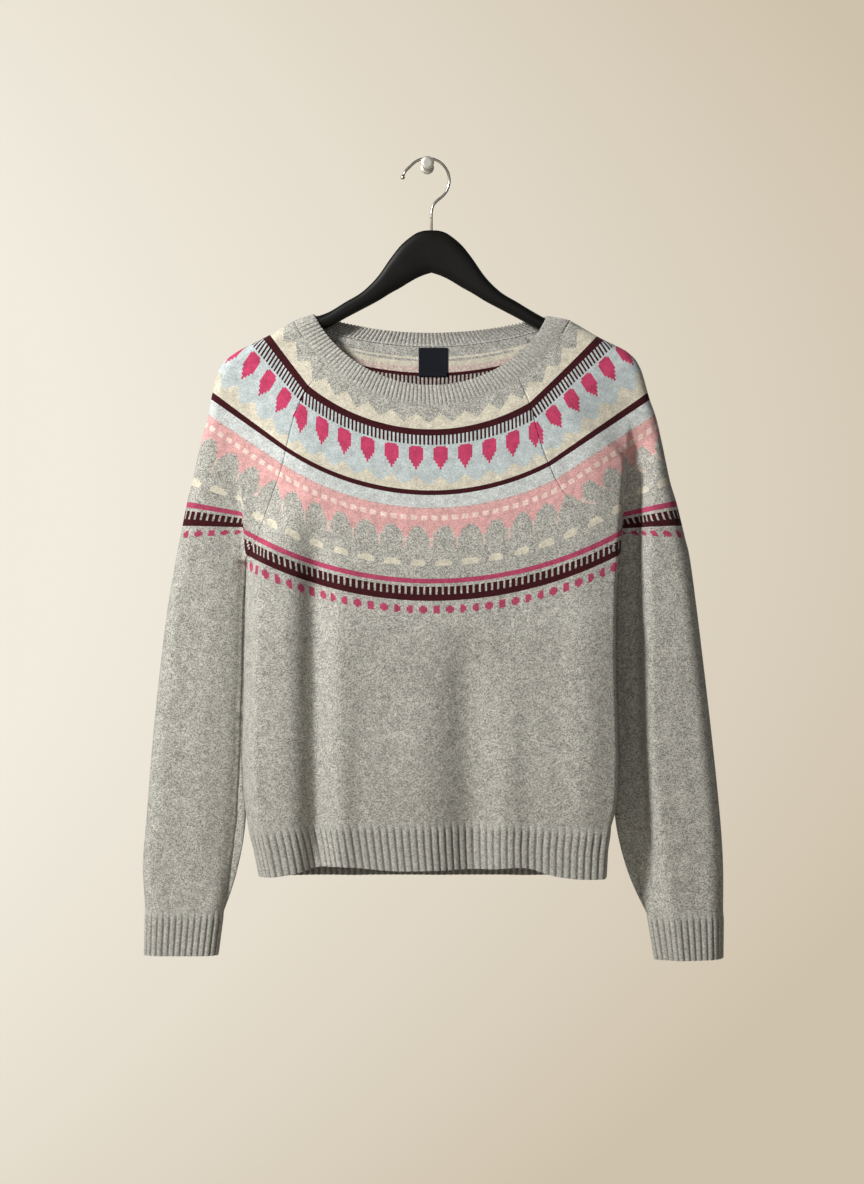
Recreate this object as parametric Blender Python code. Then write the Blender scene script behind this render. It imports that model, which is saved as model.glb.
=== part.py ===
"""Long-sleeved knitted jumper hanging on a hanger from a small wall knob.

Axes: X to the viewer's right, +Y into the wall, +Z up. The origin is the centre of
the knob's face on the wall. The garment hangs in a layer between the wall and the
viewer: its front looks along -Y. All tables are in millimetres, X measured from the
garment's own centre line and Z from the knob's axis.
"""
import math

import bmesh
import bpy
import numpy as np

MM = 0.001

# Placing and cloth
GARMENT_X = 4.2        # the garment's centre line beside the knob's axis
MID_Y = -24.0          # middle plane of the hanger and of every fold
WALL = 2.2             # cloth thickness
RIB_RISE = 0.9         # height of a rib over the plain wall
SEAM = 0.3             # gap between pieces that are sewn together
NECK_GAP = 0.6         # the same at the round neck, where long chords meet short ones

# How far the cloth bulges from the middle plane
FOLD_FRONT = (11.0, 13.0)      # at the shoulders, at the sleeves and lower body
FOLD_BACK = (11.0, 11.0)
FOLD_WIDTH_SHOULDER = 11.5     # width over which an outer fold rounds off
FOLD_WIDTH_SLEEVE = 18.0
FOLD_WIDTH_BODY = 14.0
BODY_REACH = 85.0              # width over which the chest rises from the side folds
UPPER_Z = -230.0
LOWER_Z = -420.0

# Ribs, counted on the garment
NECK_RIBS = 116
HEM_RIBS = 60
CUFF_RIBS = 28

# Neck opening
NECK_CENTRE_Z = -96.3
NECK_OPENING_R = 140.0
NECK_SEAM_R = 162.0
NECK_END_LEFT = (-124.3, -159.6)
NECK_END_RIGHT = (122.4, -161.5)
BACK_TOP_Z = -182.7
BACK_SEAM_Z = -198.0

# Wire, hanger and knob
WIRE_R = 1.5
HOOK_R = 23.3
STEM_R = 4.0
KNOB_R = 7.0
KNOB_LENGTH = 31.5

# One row for each knitted course that is followed: where it meets the outer fold and
# the raglan seam (or, below the underarm, the inner fold of the sleeve).
SLEEVE_COLUMNS = ("course", "out_x", "out_z", "in_x", "in_z")
SLEEVE_LEFT = (
    ("neck seam", -145.8, -166.5, -112.4, -213.0),
    ("comb", -174.7, -183.2, -130.6, -240.5),
    ("petals", -206.2, -199.5, -142.7, -266.2),
    ("shoulder tip", -224.1, -216.3, -148.5, -286.7),
    ("thin line", -232.9, -247.3, -152.7, -304.5),
    ("pink band", -236.7, -268.8, -156.8, -322.4),
    ("arches", -244.0, -295.1, -165.3, -346.5),
    ("dashes", -253.5, -337.1, -176.3, -376.9),
    ("pink line", -259.2, -361.2, -183.6, -396.4),
    ("dots", -266.1, -395.9, -190.5, -410.6),
    ("underarm", -270.8, -420.0, -195.9, -422.1),
    ("upper arm", -279.7, -472.5, -198.8, -474.6),
    ("elbow top", -288.6, -546.0, -200.3, -548.1),
    ("elbow", -296.0, -619.5, -202.6, -620.6),
    ("forearm", -301.8, -693.0, -206.2, -694.1),
    ("wrist", -305.6, -743.4, -212.5, -744.5),
    ("cuff top", -303.3, -788.6, -219.3, -790.6),
    ("cuff end", -303.9, -837.4, -225.6, -837.4),
)
SLEEVE_RIGHT = (
    ("neck seam", 146.6, -165.9, 92.0, -229.7),
    ("comb", 179.1, -184.8, 104.1, -258.3),
    ("petals", 207.5, -199.5, 111.4, -285.6),
    ("shoulder tip", 221.1, -216.3, 117.2, -304.5),
    ("thin line", 230.6, -247.8, 123.5, -320.2),
    ("pink band", 237.9, -268.8, 131.6, -338.1),
    ("arches", 244.5, -297.2, 145.0, -359.1),
    ("dashes", 252.6, -336.0, 165.0, -383.2),
    ("pink line", 259.8, -360.2, 179.1, -401.1),
    ("dots", 268.4, -395.9, 190.0, -412.1),
    ("underarm", 273.6, -417.9, 198.9, -421.6),
    ("upper arm", 281.0, -472.5, 199.8, -474.6),
    ("elbow top", 289.9, -546.0, 200.2, -548.1),
    ("elbow", 298.3, -619.5, 202.6, -620.6),
    ("forearm", 305.7, -693.0, 209.6, -694.1),
    ("wrist", 308.8, -743.4, 216.4, -743.4),
    ("cuff top", 308.8, -790.6, 227.4, -792.8),
    ("cuff end", 308.3, -840.0, 235.8, -842.1),
)

# The same courses at the middle of the front and of the back, with the radius of the
# arc that each makes on the front.
YOKE_COLUMNS = ("course", "front_z", "front_r", "back_z")
YOKE = (
    ("neck seam", -258.3, 162.0, -198.0),
    ("comb", -286.3, 209.0, -226.8),
    ("petals", -311.9, 245.7, -253.0),
    ("shoulder tip", -331.8, 256.0, -276.0),
    ("thin line", -350.7, 266.2, -300.0),
    ("pink band", -368.6, 289.0, -324.0),
    ("arches", -393.8, 315.0, -352.0),
    ("dashes", -423.7, 352.0, -384.0),
    ("pink line", -441.6, 375.0, -408.0),
    ("dots", -456.8, 420.0, -424.0),
    ("underarm", -470.4, 480.0, -436.0),
)
UNDERARM = 10
CUFF_TOP = 16

# Side folds of the body below the underarm, and the middle heights of the rows there.
BODY_COLUMNS = ("side_z", "left_x", "right_x", "front_z", "back_z")
BODY = (
    (-422.1, -195.9, 198.9, -470.4, -436.0),
    (-452.0, -196.9, 196.6, -494.0, -462.0),
    (-484.1, -197.4, 195.6, -520.0, -492.0),
    (-516.0, -198.2, 195.4, -546.0, -522.0),
    (-548.1, -198.7, 195.9, -572.0, -552.0),
    (-589.1, -199.6, 197.2, -604.0, -590.0),
    (-629.0, -200.4, 198.3, -636.0, -628.0),
    (-661.5, -199.2, 197.5, -662.0, -659.0),
    (-684.6, -196.8, 195.1, -680.0, -682.0),
    (-701.0, -194.2, 190.2, -693.0, -698.0),
    (-726.0, -187.5, 186.1, -718.0, -724.0),
    (-753.5, -182.1, 184.7, -744.8, -750.0),
)
RIB_TOP = 9

# Lower edge of the front hem across the width.
HEM_COLUMNS = ("x", "front_z")
HEM = (
    (-182.1, -753.5),
    (-160.0, -751.0),
    (-141.0, -747.6),
    (-127.0, -743.6),
    (-30.0, -744.8),
    (60.0, -743.4),
    (106.0, -743.2),
    (121.0, -748.4),
    (146.0, -752.6),
    (184.7, -753.5),
)

# Bulge of the body beyond its side folds, front and back.
BULGE_COLUMNS = ("z", "front", "back")
BULGE = (
    (-160.0, 2.0, 1.0),
    (-258.0, 12.0, 2.5),
    (-350.0, 20.0, 4.0),
    (-440.0, 27.0, 5.0),
    (-560.0, 28.0, 5.0),
    (-660.0, 25.0, 4.5),
    (-700.0, 21.0, 4.0),
    (-755.0, 19.0, 3.5),
)

# Large soft folds of the body: troughs have a positive depth, ridges a negative one.
CREASE_COLUMNS = ("face", "x_top", "z_top", "x_end", "z_end", "width", "depth")
CREASES = (
    ("front", -134.0, -385.0, -129.0, -760.0, 13.0, 6.0),
    ("front", -168.0, -420.0, -163.0, -760.0, 19.0, -3.0),
    ("front", -98.0, -440.0, -99.0, -760.0, 20.0, -2.5),
    ("front", 2.0, -480.0, 6.0, -760.0, 17.0, 3.0),
    ("front", 112.0, -520.0, 117.0, -760.0, 16.0, 2.5),
    ("front", 156.0, -400.0, 152.0, -760.0, 24.0, -3.0),
    ("back", -70.0, -430.0, -84.0, -760.0, 16.0, 2.5),
    ("back", 92.0, -460.0, 101.0, -760.0, 15.0, 2.5),
)

# Hanger: the half that shows, from its middle outwards. The rest follows the shoulder.
HANGER_COLUMNS = ("x", "top_z", "bottom_z", "half_depth")
HANGER = (
    (0.0, -70.4, -115.5, 6.0),
    (8.0, -70.9, -118.0, 6.0),
    (15.0, -73.0, -121.0, 6.1),
    (24.0, -79.0, -126.0, 6.3),
    (32.0, -86.0, -131.0, 6.5),
    (43.0, -99.8, -137.0, 6.7),
    (56.0, -118.5, -145.0, 6.9),
    (71.0, -134.0, -153.0, 7.1),
    (92.0, -147.2, -164.0, 7.2),
    (108.0, -156.8, -173.0, 7.2),
)
ARM_X = (124.0, 146.0, 160.0, 176.5, 190.0, 202.0)
ARM_UNDER_SHOULDER = 3.1
ARM_DEPTH = 16.0
ARM_HALF = 7.2
TIP_X = (208.0, 212.0)
TIP_DROP = 2.2
TIP_SCALE = (0.8, 0.35)

LABEL_SIZE = 31.0
LABEL_THICK = 0.9
LABEL_TOP_Z = -198.6
LABEL_X = 1.8


def column(rows, names, name):
    """One named column of a table as an array."""
    return np.array([row[names.index(name)] for row in rows], dtype=float)


def lerp(a, b, t):
    """The point a share t of the way from a to b."""
    return a + (b - a) * t


def ease(t):
    """Smooth step from 0 to 1."""
    t = min(max(t, 0.0), 1.0)
    return t * t * (3.0 - 2.0 * t)


def read(table, names, key, name, at):
    """Read a column between the rows of a table, going down from its top."""
    keys = column(table, names, key)
    values = column(table, names, name)
    order = np.argsort(keys)
    return float(np.interp(at, keys[order], values[order]))


def sleeve_point(rows, k, end):
    """Point of sleeve row k at its outer fold or at its inner end."""
    names = SLEEVE_COLUMNS
    return (rows[k][names.index(end + "_x")], rows[k][names.index(end + "_z")])


def outline(rows, neck_end):
    """The garment's outer edge from the neck opening down to the cuff."""
    points = [neck_end]
    for k in range(len(rows)):
        points.append(sleeve_point(rows, k, "out"))
    return np.array(points)


OUTLINES = (outline(SLEEVE_LEFT, NECK_END_LEFT), outline(SLEEVE_RIGHT, NECK_END_RIGHT))


def nearest(x, z, line):
    """Distance from a point to a line of points, and the way that leads off it.

    Close to the line the way is square to it, averaged round its corners.
    """
    p = np.array((x, z))
    a = line[:-1]
    ab = line[1:] - a
    t = ((p - a) * ab).sum(axis=1) / (ab * ab).sum(axis=1)
    t = np.clip(t, 0.0, 1.0)
    foot = a + ab * t[:, None]
    away = p - foot
    dist = np.sqrt((away * away).sum(axis=1))
    k = int(dist.argmin())
    square = np.stack((-ab[:, 1], ab[:, 0]), axis=1)
    square /= np.linalg.norm(square, axis=1)[:, None]
    outside = square[:, 0] * math.copysign(1.0, x) + 0.3 * square[:, 1] > 0.0
    square[outside] *= -1.0
    weight = np.exp(-(dist - dist[k]) / 2.0)
    near = (square * weight[:, None]).sum(axis=0)
    near /= np.linalg.norm(near)
    share = ease(dist[k] / 4.0)
    way = near * (1.0 - share) + away[k] / max(dist[k], 1e-6) * share
    return float(dist[k]), way / np.linalg.norm(way)


def depth_share(z, pair):
    """Blend a pair of sizes from the shoulders to the underarm."""
    return lerp(pair[0], pair[1], ease((UPPER_Z - z) / (UPPER_Z - LOWER_Z)))


def side_line(z, side):
    """Side fold of the body, going on above the underarm to the shoulder tip."""
    name = "left_x" if side < 0 else "right_x"
    top_z = BODY[0][0]
    if z <= top_z:
        return read(BODY, BODY_COLUMNS, "side_z", name, z)
    rows = SLEEVE_LEFT if side < 0 else SLEEVE_RIGHT
    start = BODY[0][BODY_COLUMNS.index(name)]
    tip = sleeve_point(rows, 3, "out")
    return lerp(start, tip[0], min((z - top_z) / (tip[1] - top_z), 1.0))


def body_rise(x, z, face):
    """Bulge of chest and back beyond the folds at the sides."""
    reach = min(x - side_line(z, -1), side_line(z, 1) - x)
    for line in OUTLINES:
        reach = min(reach, nearest(x, z, line)[0])
    return read(BULGE, BULGE_COLUMNS, "z", face, z) * ease(reach / BODY_REACH)


def crease(x, z, face):
    """Depth of the large soft folds at a point."""
    total = 0.0
    for row in CREASES:
        name, x_top, z_top, x_end, z_end, width, depth = row
        if name != face or z > z_top:
            continue
        share = (z_top - z) / (z_top - z_end)
        middle = lerp(x_top, x_end, share)
        fade = ease(share * 3.5)
        total += depth * fade * math.exp(-((x - middle) / width) ** 2)
    return total


def cloth(x, z, face, piece):
    """Outer point of the cloth and its outward normal, for one face of one piece."""
    sign = -1.0 if face == "front" else 1.0
    side = -1 if x < 0.0 else 1
    top_z = BODY[0][0]
    fold = depth_share(z, FOLD_FRONT if face == "front" else FOLD_BACK)
    # the outer fold of shoulder and sleeve
    line = OUTLINES[0] if side < 0 else OUTLINES[1]
    share = 1.0
    normal = np.array((0.0, 0.0))
    width = 1.0
    if piece == "sleeve" or z > top_z:
        dist, away = nearest(x, z, line)
        width = depth_share(z, (FOLD_WIDTH_SHOULDER, FOLD_WIDTH_SLEEVE))
        share = dist / width
        normal = -away
    # the fold between sleeve and body, which deepens down to the underarm
    rows = SLEEVE_LEFT if side < 0 else SLEEVE_RIGHT
    valley_x, valley_z = sleeve_point(rows, UNDERARM, "in")
    start_z = sleeve_point(rows, 5 if side < 0 else 4, "in")[1]
    if z > valley_z:
        close = min((z - valley_z) / (start_z - valley_z), 1.0) ** 0.4
        inward = (valley_x - x) * side > 0.0
        wide = FOLD_WIDTH_BODY if inward else FOLD_WIDTH_SLEEVE
        dist = abs(x - valley_x) + close * wide
        if dist / wide < share:
            share = dist / wide
            width = wide
            normal = np.array((float(side) if inward else -float(side), 0.0))
    elif piece == "body":
        dist = (side_line(z, side) - x) * side
        share = dist / FOLD_WIDTH_BODY
        width = FOLD_WIDTH_BODY
        normal = np.array((float(side), 0.0))
    else:
        names = SLEEVE_COLUMNS
        edge = read(rows, names, "in_z", "in_x", z)
        dist = (x - edge) * side
        if dist / FOLD_WIDTH_SLEEVE < share:
            share = dist / FOLD_WIDTH_SLEEVE
            width = FOLD_WIDTH_SLEEVE
            normal = np.array((-float(side), 0.0))
    share = min(max(share, 0.0), 1.0)
    round_off = math.sqrt(1.0 - (1.0 - share) ** 2)
    bulge = fold * round_off
    slope = np.array((0.0, 0.0))
    body_side = piece == "body" or z > valley_z
    if body_side:
        here = body_rise(x, z, face)
        step = 2.0
        slope[0] = (body_rise(x + step, z, face) - here) / step
        slope[1] = (body_rise(x, z + step, face) - here) / step
        bulge += here
        bulge -= crease(x, z, face) * round_off
    flat = normal * (fold * (1.0 - share) / width) - slope * round_off
    vector = np.array((flat[0], sign * round_off, flat[1]))
    vector /= np.linalg.norm(vector)
    point = np.array((x + GARMENT_X, MID_Y + sign * bulge, z))
    return point, vector


def arc_row(x, middle_z, radius, side_x, side_z):
    """Height of a course at x: an arc from its middle to its end at one side."""
    def rise(at):
        return radius - math.sqrt(max(radius * radius - at * at, 0.0))
    return middle_z + (side_z - middle_z) * rise(x) / rise(side_x)


def spread(n):
    """Shares from 0 to 1 that crowd towards both ends."""
    return [0.5 - 0.5 * math.cos(math.pi * i / n) for i in range(n + 1)]


def back_raglan(rows, k):
    """Point of the raglan seam on the back, level with course k."""
    side = -1.0 if rows is SLEEVE_LEFT else 1.0
    end_x, end_z = sleeve_point(rows, UNDERARM, "in")
    top_x = side * 98.0
    top_z = back_neck(top_x, BACK_SEAM_Z, "seam")
    t = k / UNDERARM
    bow = side * 5.0 * 4.0 * t * (1.0 - t)
    return (lerp(top_x, end_x, t) + bow, lerp(top_z, end_z, t))


def back_neck(x, middle_z, edge):
    """Height of the back neck line at x, for the sewn or the open edge."""
    if edge == "seam":
        end = sleeve_point(SLEEVE_LEFT if x < 0.0 else SLEEVE_RIGHT, 0, "out")
    else:
        end = NECK_END_LEFT if x < 0.0 else NECK_END_RIGHT
    return lerp(middle_z, end[1], (x / end[0]) ** 2)


def raglan(rows, k, face):
    """End of course k at the raglan seam of one face."""
    if face == "back":
        return back_raglan(rows, k)
    return sleeve_point(rows, k, "in")


def neck_line(x, face):
    """Seam between the neck trim and the panels."""
    if face == "back":
        return back_neck(x, BACK_SEAM_Z, "seam")
    return NECK_CENTRE_Z - math.sqrt(NECK_SEAM_R ** 2 - x * x)


def off_neck(x, z):
    """A point of the neck seam moved away from the neck trim by its gap."""
    reach = math.hypot(x, z - NECK_CENTRE_Z)
    return x + NECK_GAP * x / reach, z + NECK_GAP * (z - NECK_CENTRE_Z) / reach


def panel_row(k, face, shares):
    """Picture points (x, z) of row k of the front or back panel."""
    points = []
    if k <= UNDERARM:
        left = raglan(SLEEVE_LEFT, k, face)
        right = raglan(SLEEVE_RIGHT, k, face)
        names = YOKE_COLUMNS
        middle = YOKE[k][names.index(face + "_z")]
        radius = YOKE[k][names.index("front_r")]
    else:
        names = BODY_COLUMNS
        row = BODY[k - UNDERARM]
        side_z = row[names.index("side_z")]
        left = (row[names.index("left_x")], side_z)
        right = (row[names.index("right_x")], side_z)
        middle = row[names.index(face + "_z")]
        radius = 480.0
    gap = SEAM / 2.0
    for s in shares:
        x = lerp(left[0] + gap, right[0] - gap, s)
        side = left if x < 0.0 else right
        if k == 0:
            x, z = off_neck(x, neck_line(x, face))
        else:
            z = arc_row(x, middle, radius, side[0], side[1])
        points.append((x, z))
    return points


def hem_edge(x, face):
    """Lower edge of the hem ribs."""
    if face == "front":
        return read(HEM, HEM_COLUMNS, "x", "front_z", x)
    return BODY[-1][BODY_COLUMNS.index("back_z")]


def make_object(name, verts, faces, colour, rough, metal=0.0, smooth=50.0):
    """A closed mesh in metres with its own material, its faces pointing out."""
    mesh = bpy.data.meshes.new(name)
    mesh.from_pydata([tuple(v * MM for v in p) for p in verts], [], faces)
    bm = bmesh.new()
    bm.from_mesh(mesh)
    bmesh.ops.recalc_face_normals(bm, faces=bm.faces)
    if bm.calc_volume(signed=True) < 0.0:
        bmesh.ops.reverse_faces(bm, faces=bm.faces)
    bm.to_mesh(mesh)
    bm.free()
    mesh.shade_smooth()
    mesh.set_sharp_from_angle(angle=math.radians(smooth))
    obj = bpy.data.objects.new(name, mesh)
    bpy.context.scene.collection.objects.link(obj)
    material = bpy.data.materials.new(name)
    material.use_nodes = True
    shader = material.node_tree.nodes["Principled BSDF"]
    shader.inputs["Base Color"].default_value = (*colour, 1.0)
    shader.inputs["Roughness"].default_value = rough
    shader.inputs["Metallic"].default_value = metal
    mesh.materials.append(material)
    obj.parent = ROOT
    return obj


def wall_mesh(outer, inner, closed_from=None, every=1):
    """Closed wall between an outer and an inner grid of points.

    From row closed_from on, the last column is the first one again. The inner grid
    has one column for each `every` columns of the outer one.
    """
    rows = len(outer)
    cols = len(outer[0])
    inner_cols = (cols - 1) // every + 1
    verts = []
    index = {}

    def add(key, point):
        index[key] = len(verts)
        verts.append(tuple(point))

    for r in range(rows):
        closed = closed_from is not None and r >= closed_from
        for c in range(cols):
            if closed and c == cols - 1:
                index[("o", r, c)] = index[("o", r, 0)]
            else:
                add(("o", r, c), outer[r][c])
        for c in range(inner_cols):
            if closed and c == inner_cols - 1:
                index[("i", r, c)] = index[("i", r, 0)]
            else:
                add(("i", r, c), inner[r][c])
    faces = []

    def split(quad, first):
        """Two triangles, cut along the first or the second diagonal."""
        a, b, c, d = quad
        return [[a, b, c], [a, c, d]] if first else [[a, b, d], [b, c, d]]

    for r in range(rows - 1):
        for c in range(cols - 1):
            quad = [index[("o", r, c)], index[("o", r, c + 1)],
                    index[("o", r + 1, c + 1)], index[("o", r + 1, c)]]
            if every > 1:
                faces.append(quad)
                continue
            # both faces of the wall are cut along the diagonal that stands out
            lift = (outer[r][c] + outer[r + 1][c + 1]) - (outer[r][c + 1] + outer[r + 1][c])
            first = float(np.dot(lift, outer[r][c + 1] - inner[r][c + 1])) >= 0.0
            faces += split(quad, first)
            quad = [index[("i", r, c)], index[("i", r, c + 1)],
                    index[("i", r + 1, c + 1)], index[("i", r + 1, c)]]
            faces += [face[::-1] for face in split(quad, first)]
        for c in range(inner_cols - 1):
            if every > 1:
                faces.append([index[("i", r, c)], index[("i", r + 1, c)],
                              index[("i", r + 1, c + 1)], index[("i", r, c + 1)]])
    for r in (0, rows - 1):
        for c in range(inner_cols - 1):
            start = index[("i", r, c)]
            end = index[("i", r, c + 1)]
            if every == 1:
                faces.append([index[("o", r, c)], start, end, index[("o", r, c + 1)]])
                continue
            half = every // 2
            for j in range(every):
                near = start if j < half else end
                a = index[("o", r, c * every + j)]
                b = index[("o", r, c * every + j + 1)]
                faces.append([a, b, near])
            faces.append([index[("o", r, c * every + half)], end, start])
    last_open = rows - 1 if closed_from is None else closed_from
    for r in range(last_open):
        for c, d in ((0, 0), (cols - 1, inner_cols - 1)):
            faces.append([index[("o", r, c)], index[("o", r + 1, c)],
                          index[("i", r + 1, d)], index[("i", r, d)]])
    return verts, faces


CLOTH_COLOUR = (0.40, 0.38, 0.34)
RIB_COLOUR = (0.42, 0.39, 0.35)


def build_panel(name, face):
    """Front or back: yoke courses between the raglans, then the body to the rib."""
    shares = spread(28)
    outer = []
    inner = []
    last = UNDERARM + RIB_TOP
    sign = -1.0 if face == "front" else 1.0
    for k in range(last + 1):
        row_out = []
        row_in = []
        line = panel_row(k, face, shares)
        for c, (x, z) in enumerate(line):
            if k == last:
                z += SEAM
            point, normal = cloth(x, z, face, "body")
            if k >= UNDERARM and c in (0, len(line) - 1):
                point[1] = MID_Y + sign * SEAM / 2.0
                normal = np.array((-1.0 if c == 0 else 1.0, 0.0, 0.0))
            row_out.append(point)
            row_in.append(point - normal * WALL)
        outer.append(row_out)
        inner.append(row_in)
    verts, faces = wall_mesh(outer, inner)
    return make_object(name, verts, faces, CLOTH_COLOUR, 0.95)


def sleeve_row(rows, k, face, shares):
    """Picture points (x, z) of a sleeve row from its inner end to the outer fold."""
    side = -1.0 if rows is SLEEVE_LEFT else 1.0
    out = sleeve_point(rows, k, "out")
    start = raglan(rows, k, face) if k < UNDERARM else sleeve_point(rows, k, "in")
    points = []
    for s in shares:
        x = lerp(start[0] + side * SEAM / 2.0, out[0], s)
        z = lerp(start[1], out[1], s)
        if k == 0:
            if face == "front" and abs(x) < abs(out[0]):
                z = min(z, neck_line(x, face))
            if face == "back":
                z = neck_line(x, face)
            x, z = off_neck(x, z)
        points.append((x, z))
    return points


def build_sleeve(name, rows):
    """Sleeve: open along the raglans, closed below the underarm, down to the cuff."""
    shares = spread(9)
    outer = []
    inner = []
    for k in range(CUFF_TOP + 1):
        ring = []
        for face in ("front", "back"):
            line = sleeve_row(rows, k, face, shares)
            part = []
            for c, (x, z) in enumerate(line):
                if k == CUFF_TOP:
                    z += SEAM
                point, normal = cloth(x, z, face, "sleeve")
                if k == UNDERARM - 1 and c < 3:
                    normal = np.array((0.0, -1.0 if face == "front" else 1.0, 0.0))
                part.append((point, normal))
            ring.append(part)
        loop = ring[0] + ring[1][::-1][1:]
        outer.append([p for p, n in loop])
        inner.append([p - n * WALL for p, n in loop])
    verts, faces = wall_mesh(outer, inner, closed_from=UNDERARM)
    return make_object(name, verts, faces, CLOTH_COLOUR, 0.95)


def resample(samples, count):
    """Rows of points, taken again at equal steps along their middle row."""
    middle = np.array([s[len(s) // 2][0] for s in samples])
    steps = np.sqrt(((middle[1:] - middle[:-1]) ** 2).sum(axis=1))
    run = np.concatenate(([0.0], np.cumsum(steps)))
    wanted = np.linspace(0.0, run[-1], count + 1)
    result = []
    for level in range(len(samples[0])):
        points = np.array([s[level][0] for s in samples])
        normals = np.array([s[level][1] for s in samples])
        line = []
        for at in wanted:
            p = np.array([np.interp(at, run, points[:, a]) for a in range(3)])
            n = np.array([np.interp(at, run, normals[:, a]) for a in range(3)])
            line.append((p, n / np.linalg.norm(n)))
        result.append(line)
    return result


def ribbed_wall(levels, every, closed):
    """Outer points stand out at every second column; the inside stays plain."""
    outer = []
    inner = []
    for line in levels:
        outer.append([p + n * (RIB_RISE if c % 2 else 0.0)
                      for c, (p, n) in enumerate(line)])
        inner.append([p - n * WALL for p, n in line[::every]])
    return wall_mesh(outer, inner, closed_from=0 if closed else None, every=every)


def build_neck_band():
    """Ribbed trim all round the neck: front arc, over the shoulders, back arc."""
    ends_open = (NECK_END_LEFT, NECK_END_RIGHT)
    ends_seam = (sleeve_point(SLEEVE_LEFT, 0, "out"), sleeve_point(SLEEVE_RIGHT, 0, "out"))
    samples = []
    fine = spread(160)
    for s in fine:
        pair = []
        for ends, radius in ((ends_seam, NECK_SEAM_R), (ends_open, NECK_OPENING_R)):
            first = math.atan2(ends[0][0], NECK_CENTRE_Z - ends[0][1])
            last = math.atan2(ends[1][0], NECK_CENTRE_Z - ends[1][1])
            reach_left = math.hypot(ends[0][0], ends[0][1] - NECK_CENTRE_Z)
            reach_right = math.hypot(ends[1][0], ends[1][1] - NECK_CENTRE_Z)
            angle = lerp(first, last, s)
            r = radius
            r = lerp(reach_left, r, ease(s / 0.08))
            r = lerp(reach_right, r, ease((1.0 - s) / 0.08))
            pair.append((r * math.sin(angle), NECK_CENTRE_Z - r * math.cos(angle)))
        samples.append(("front", pair))
    for s in fine[1:]:
        pair = []
        for ends, middle, edge in ((ends_seam, BACK_SEAM_Z, "seam"),
                                   (ends_open, BACK_TOP_Z, "open")):
            x = lerp(ends[1][0], ends[0][0], s)
            pair.append((x, back_neck(x, middle, edge)))
        samples.append(("back", pair))
    stations = []
    for face, (seam, opening) in samples:
        rows = []
        for t in (0.0, 0.5, 1.0):
            x = lerp(seam[0], opening[0], t)
            z = lerp(seam[1], opening[1], t)
            point, normal = cloth(x, z, face, "body")
            point = point + normal * (0.8 * math.sin(math.pi * t))
            rows.append((point, normal))
        stations.append(rows)
    levels = resample(stations, 2 * NECK_RIBS)
    verts, faces = ribbed_wall(levels, 2, True)
    return make_object("neck_band", verts, faces, RIB_COLOUR, 0.95)


def build_hem_rib(name, face):
    """Ribbed welt under one body panel."""
    sign = -1.0 if face == "front" else 1.0
    top = panel_row(UNDERARM + RIB_TOP, face, spread(150))
    left_end, right_end = BODY[-1][1], BODY[-1][2]
    waist_left, waist_right = BODY[-2][1], BODY[-2][2]
    gap = SEAM / 2.0
    samples = []
    for s, (x_top, z_top) in zip(spread(150), top):
        x_end = lerp(left_end + gap, right_end - gap, s)
        x_mid = lerp(waist_left + gap, waist_right - gap, s)
        z_end = hem_edge(x_end, face)
        z_mid = 0.5 * (z_top + z_end)
        rows = []
        for x, z in ((x_top, z_top), (x_mid, z_mid), (x_end, z_end)):
            point, normal = cloth(x, z, face, "body")
            if s in (0.0, 1.0):
                point[1] = MID_Y + sign * gap
                normal = np.array((-1.0 if s == 0.0 else 1.0, 0.0, 0.0))
            rows.append((point, normal))
        samples.append(rows)
    levels = resample(samples, 2 * HEM_RIBS)
    verts, faces = ribbed_wall(levels, 4, False)
    return make_object(name, verts, faces, RIB_COLOUR, 0.95)


def build_cuff(name, rows):
    """Ribbed cuff: a short flattened tube."""
    fine = spread(60)
    samples = []
    for face, shares in (("front", fine), ("back", fine[::-1][1:])):
        top = sleeve_row(rows, CUFF_TOP, face, shares)
        end = sleeve_row(rows, CUFF_TOP + 1, face, shares)
        for a, b in zip(top, end):
            station = []
            for t in (0.0, 0.5, 1.0):
                x = lerp(a[0], b[0], t)
                z = lerp(a[1], b[1], t)
                station.append(cloth(x, z, face, "sleeve"))
            samples.append(station)
    levels = resample(samples, 2 * CUFF_RIBS)
    verts, faces = ribbed_wall(levels, 4, True)
    return make_object(name, verts, faces, RIB_COLOUR, 0.95)


def build_label():
    """Bare woven label on the inside of the back, just below the neck seam."""
    steps = 3
    outer = []
    inner = []
    for r in range(steps + 1):
        row_out = []
        row_in = []
        for c in range(steps + 1):
            x = LABEL_X + LABEL_SIZE * (c / steps - 0.5)
            z = LABEL_TOP_Z - LABEL_SIZE * r / steps
            point, normal = cloth(x, z, "back", "body")
            row_in.append(point - normal * (WALL + SEAM))
            row_out.append(point - normal * (WALL + SEAM + LABEL_THICK))
        outer.append(row_out)
        inner.append(row_in)
    verts, faces = wall_mesh(outer, inner)
    return make_object("label", verts, faces, (0.010, 0.014, 0.024), 0.8)


def loft(sections, cap=True):
    """Rings of points joined in turn, with a flat face on each end."""
    verts = [tuple(p) for ring in sections for p in ring]
    n = len(sections[0])
    faces = []
    for r in range(len(sections) - 1):
        for c in range(n):
            d = (c + 1) % n
            faces.append([r * n + c, r * n + d, (r + 1) * n + d, (r + 1) * n + c])
    if cap:
        faces.append(list(range(n)))
        faces.append([(len(sections) - 1) * n + c for c in range(n)])
    return verts, faces


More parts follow.
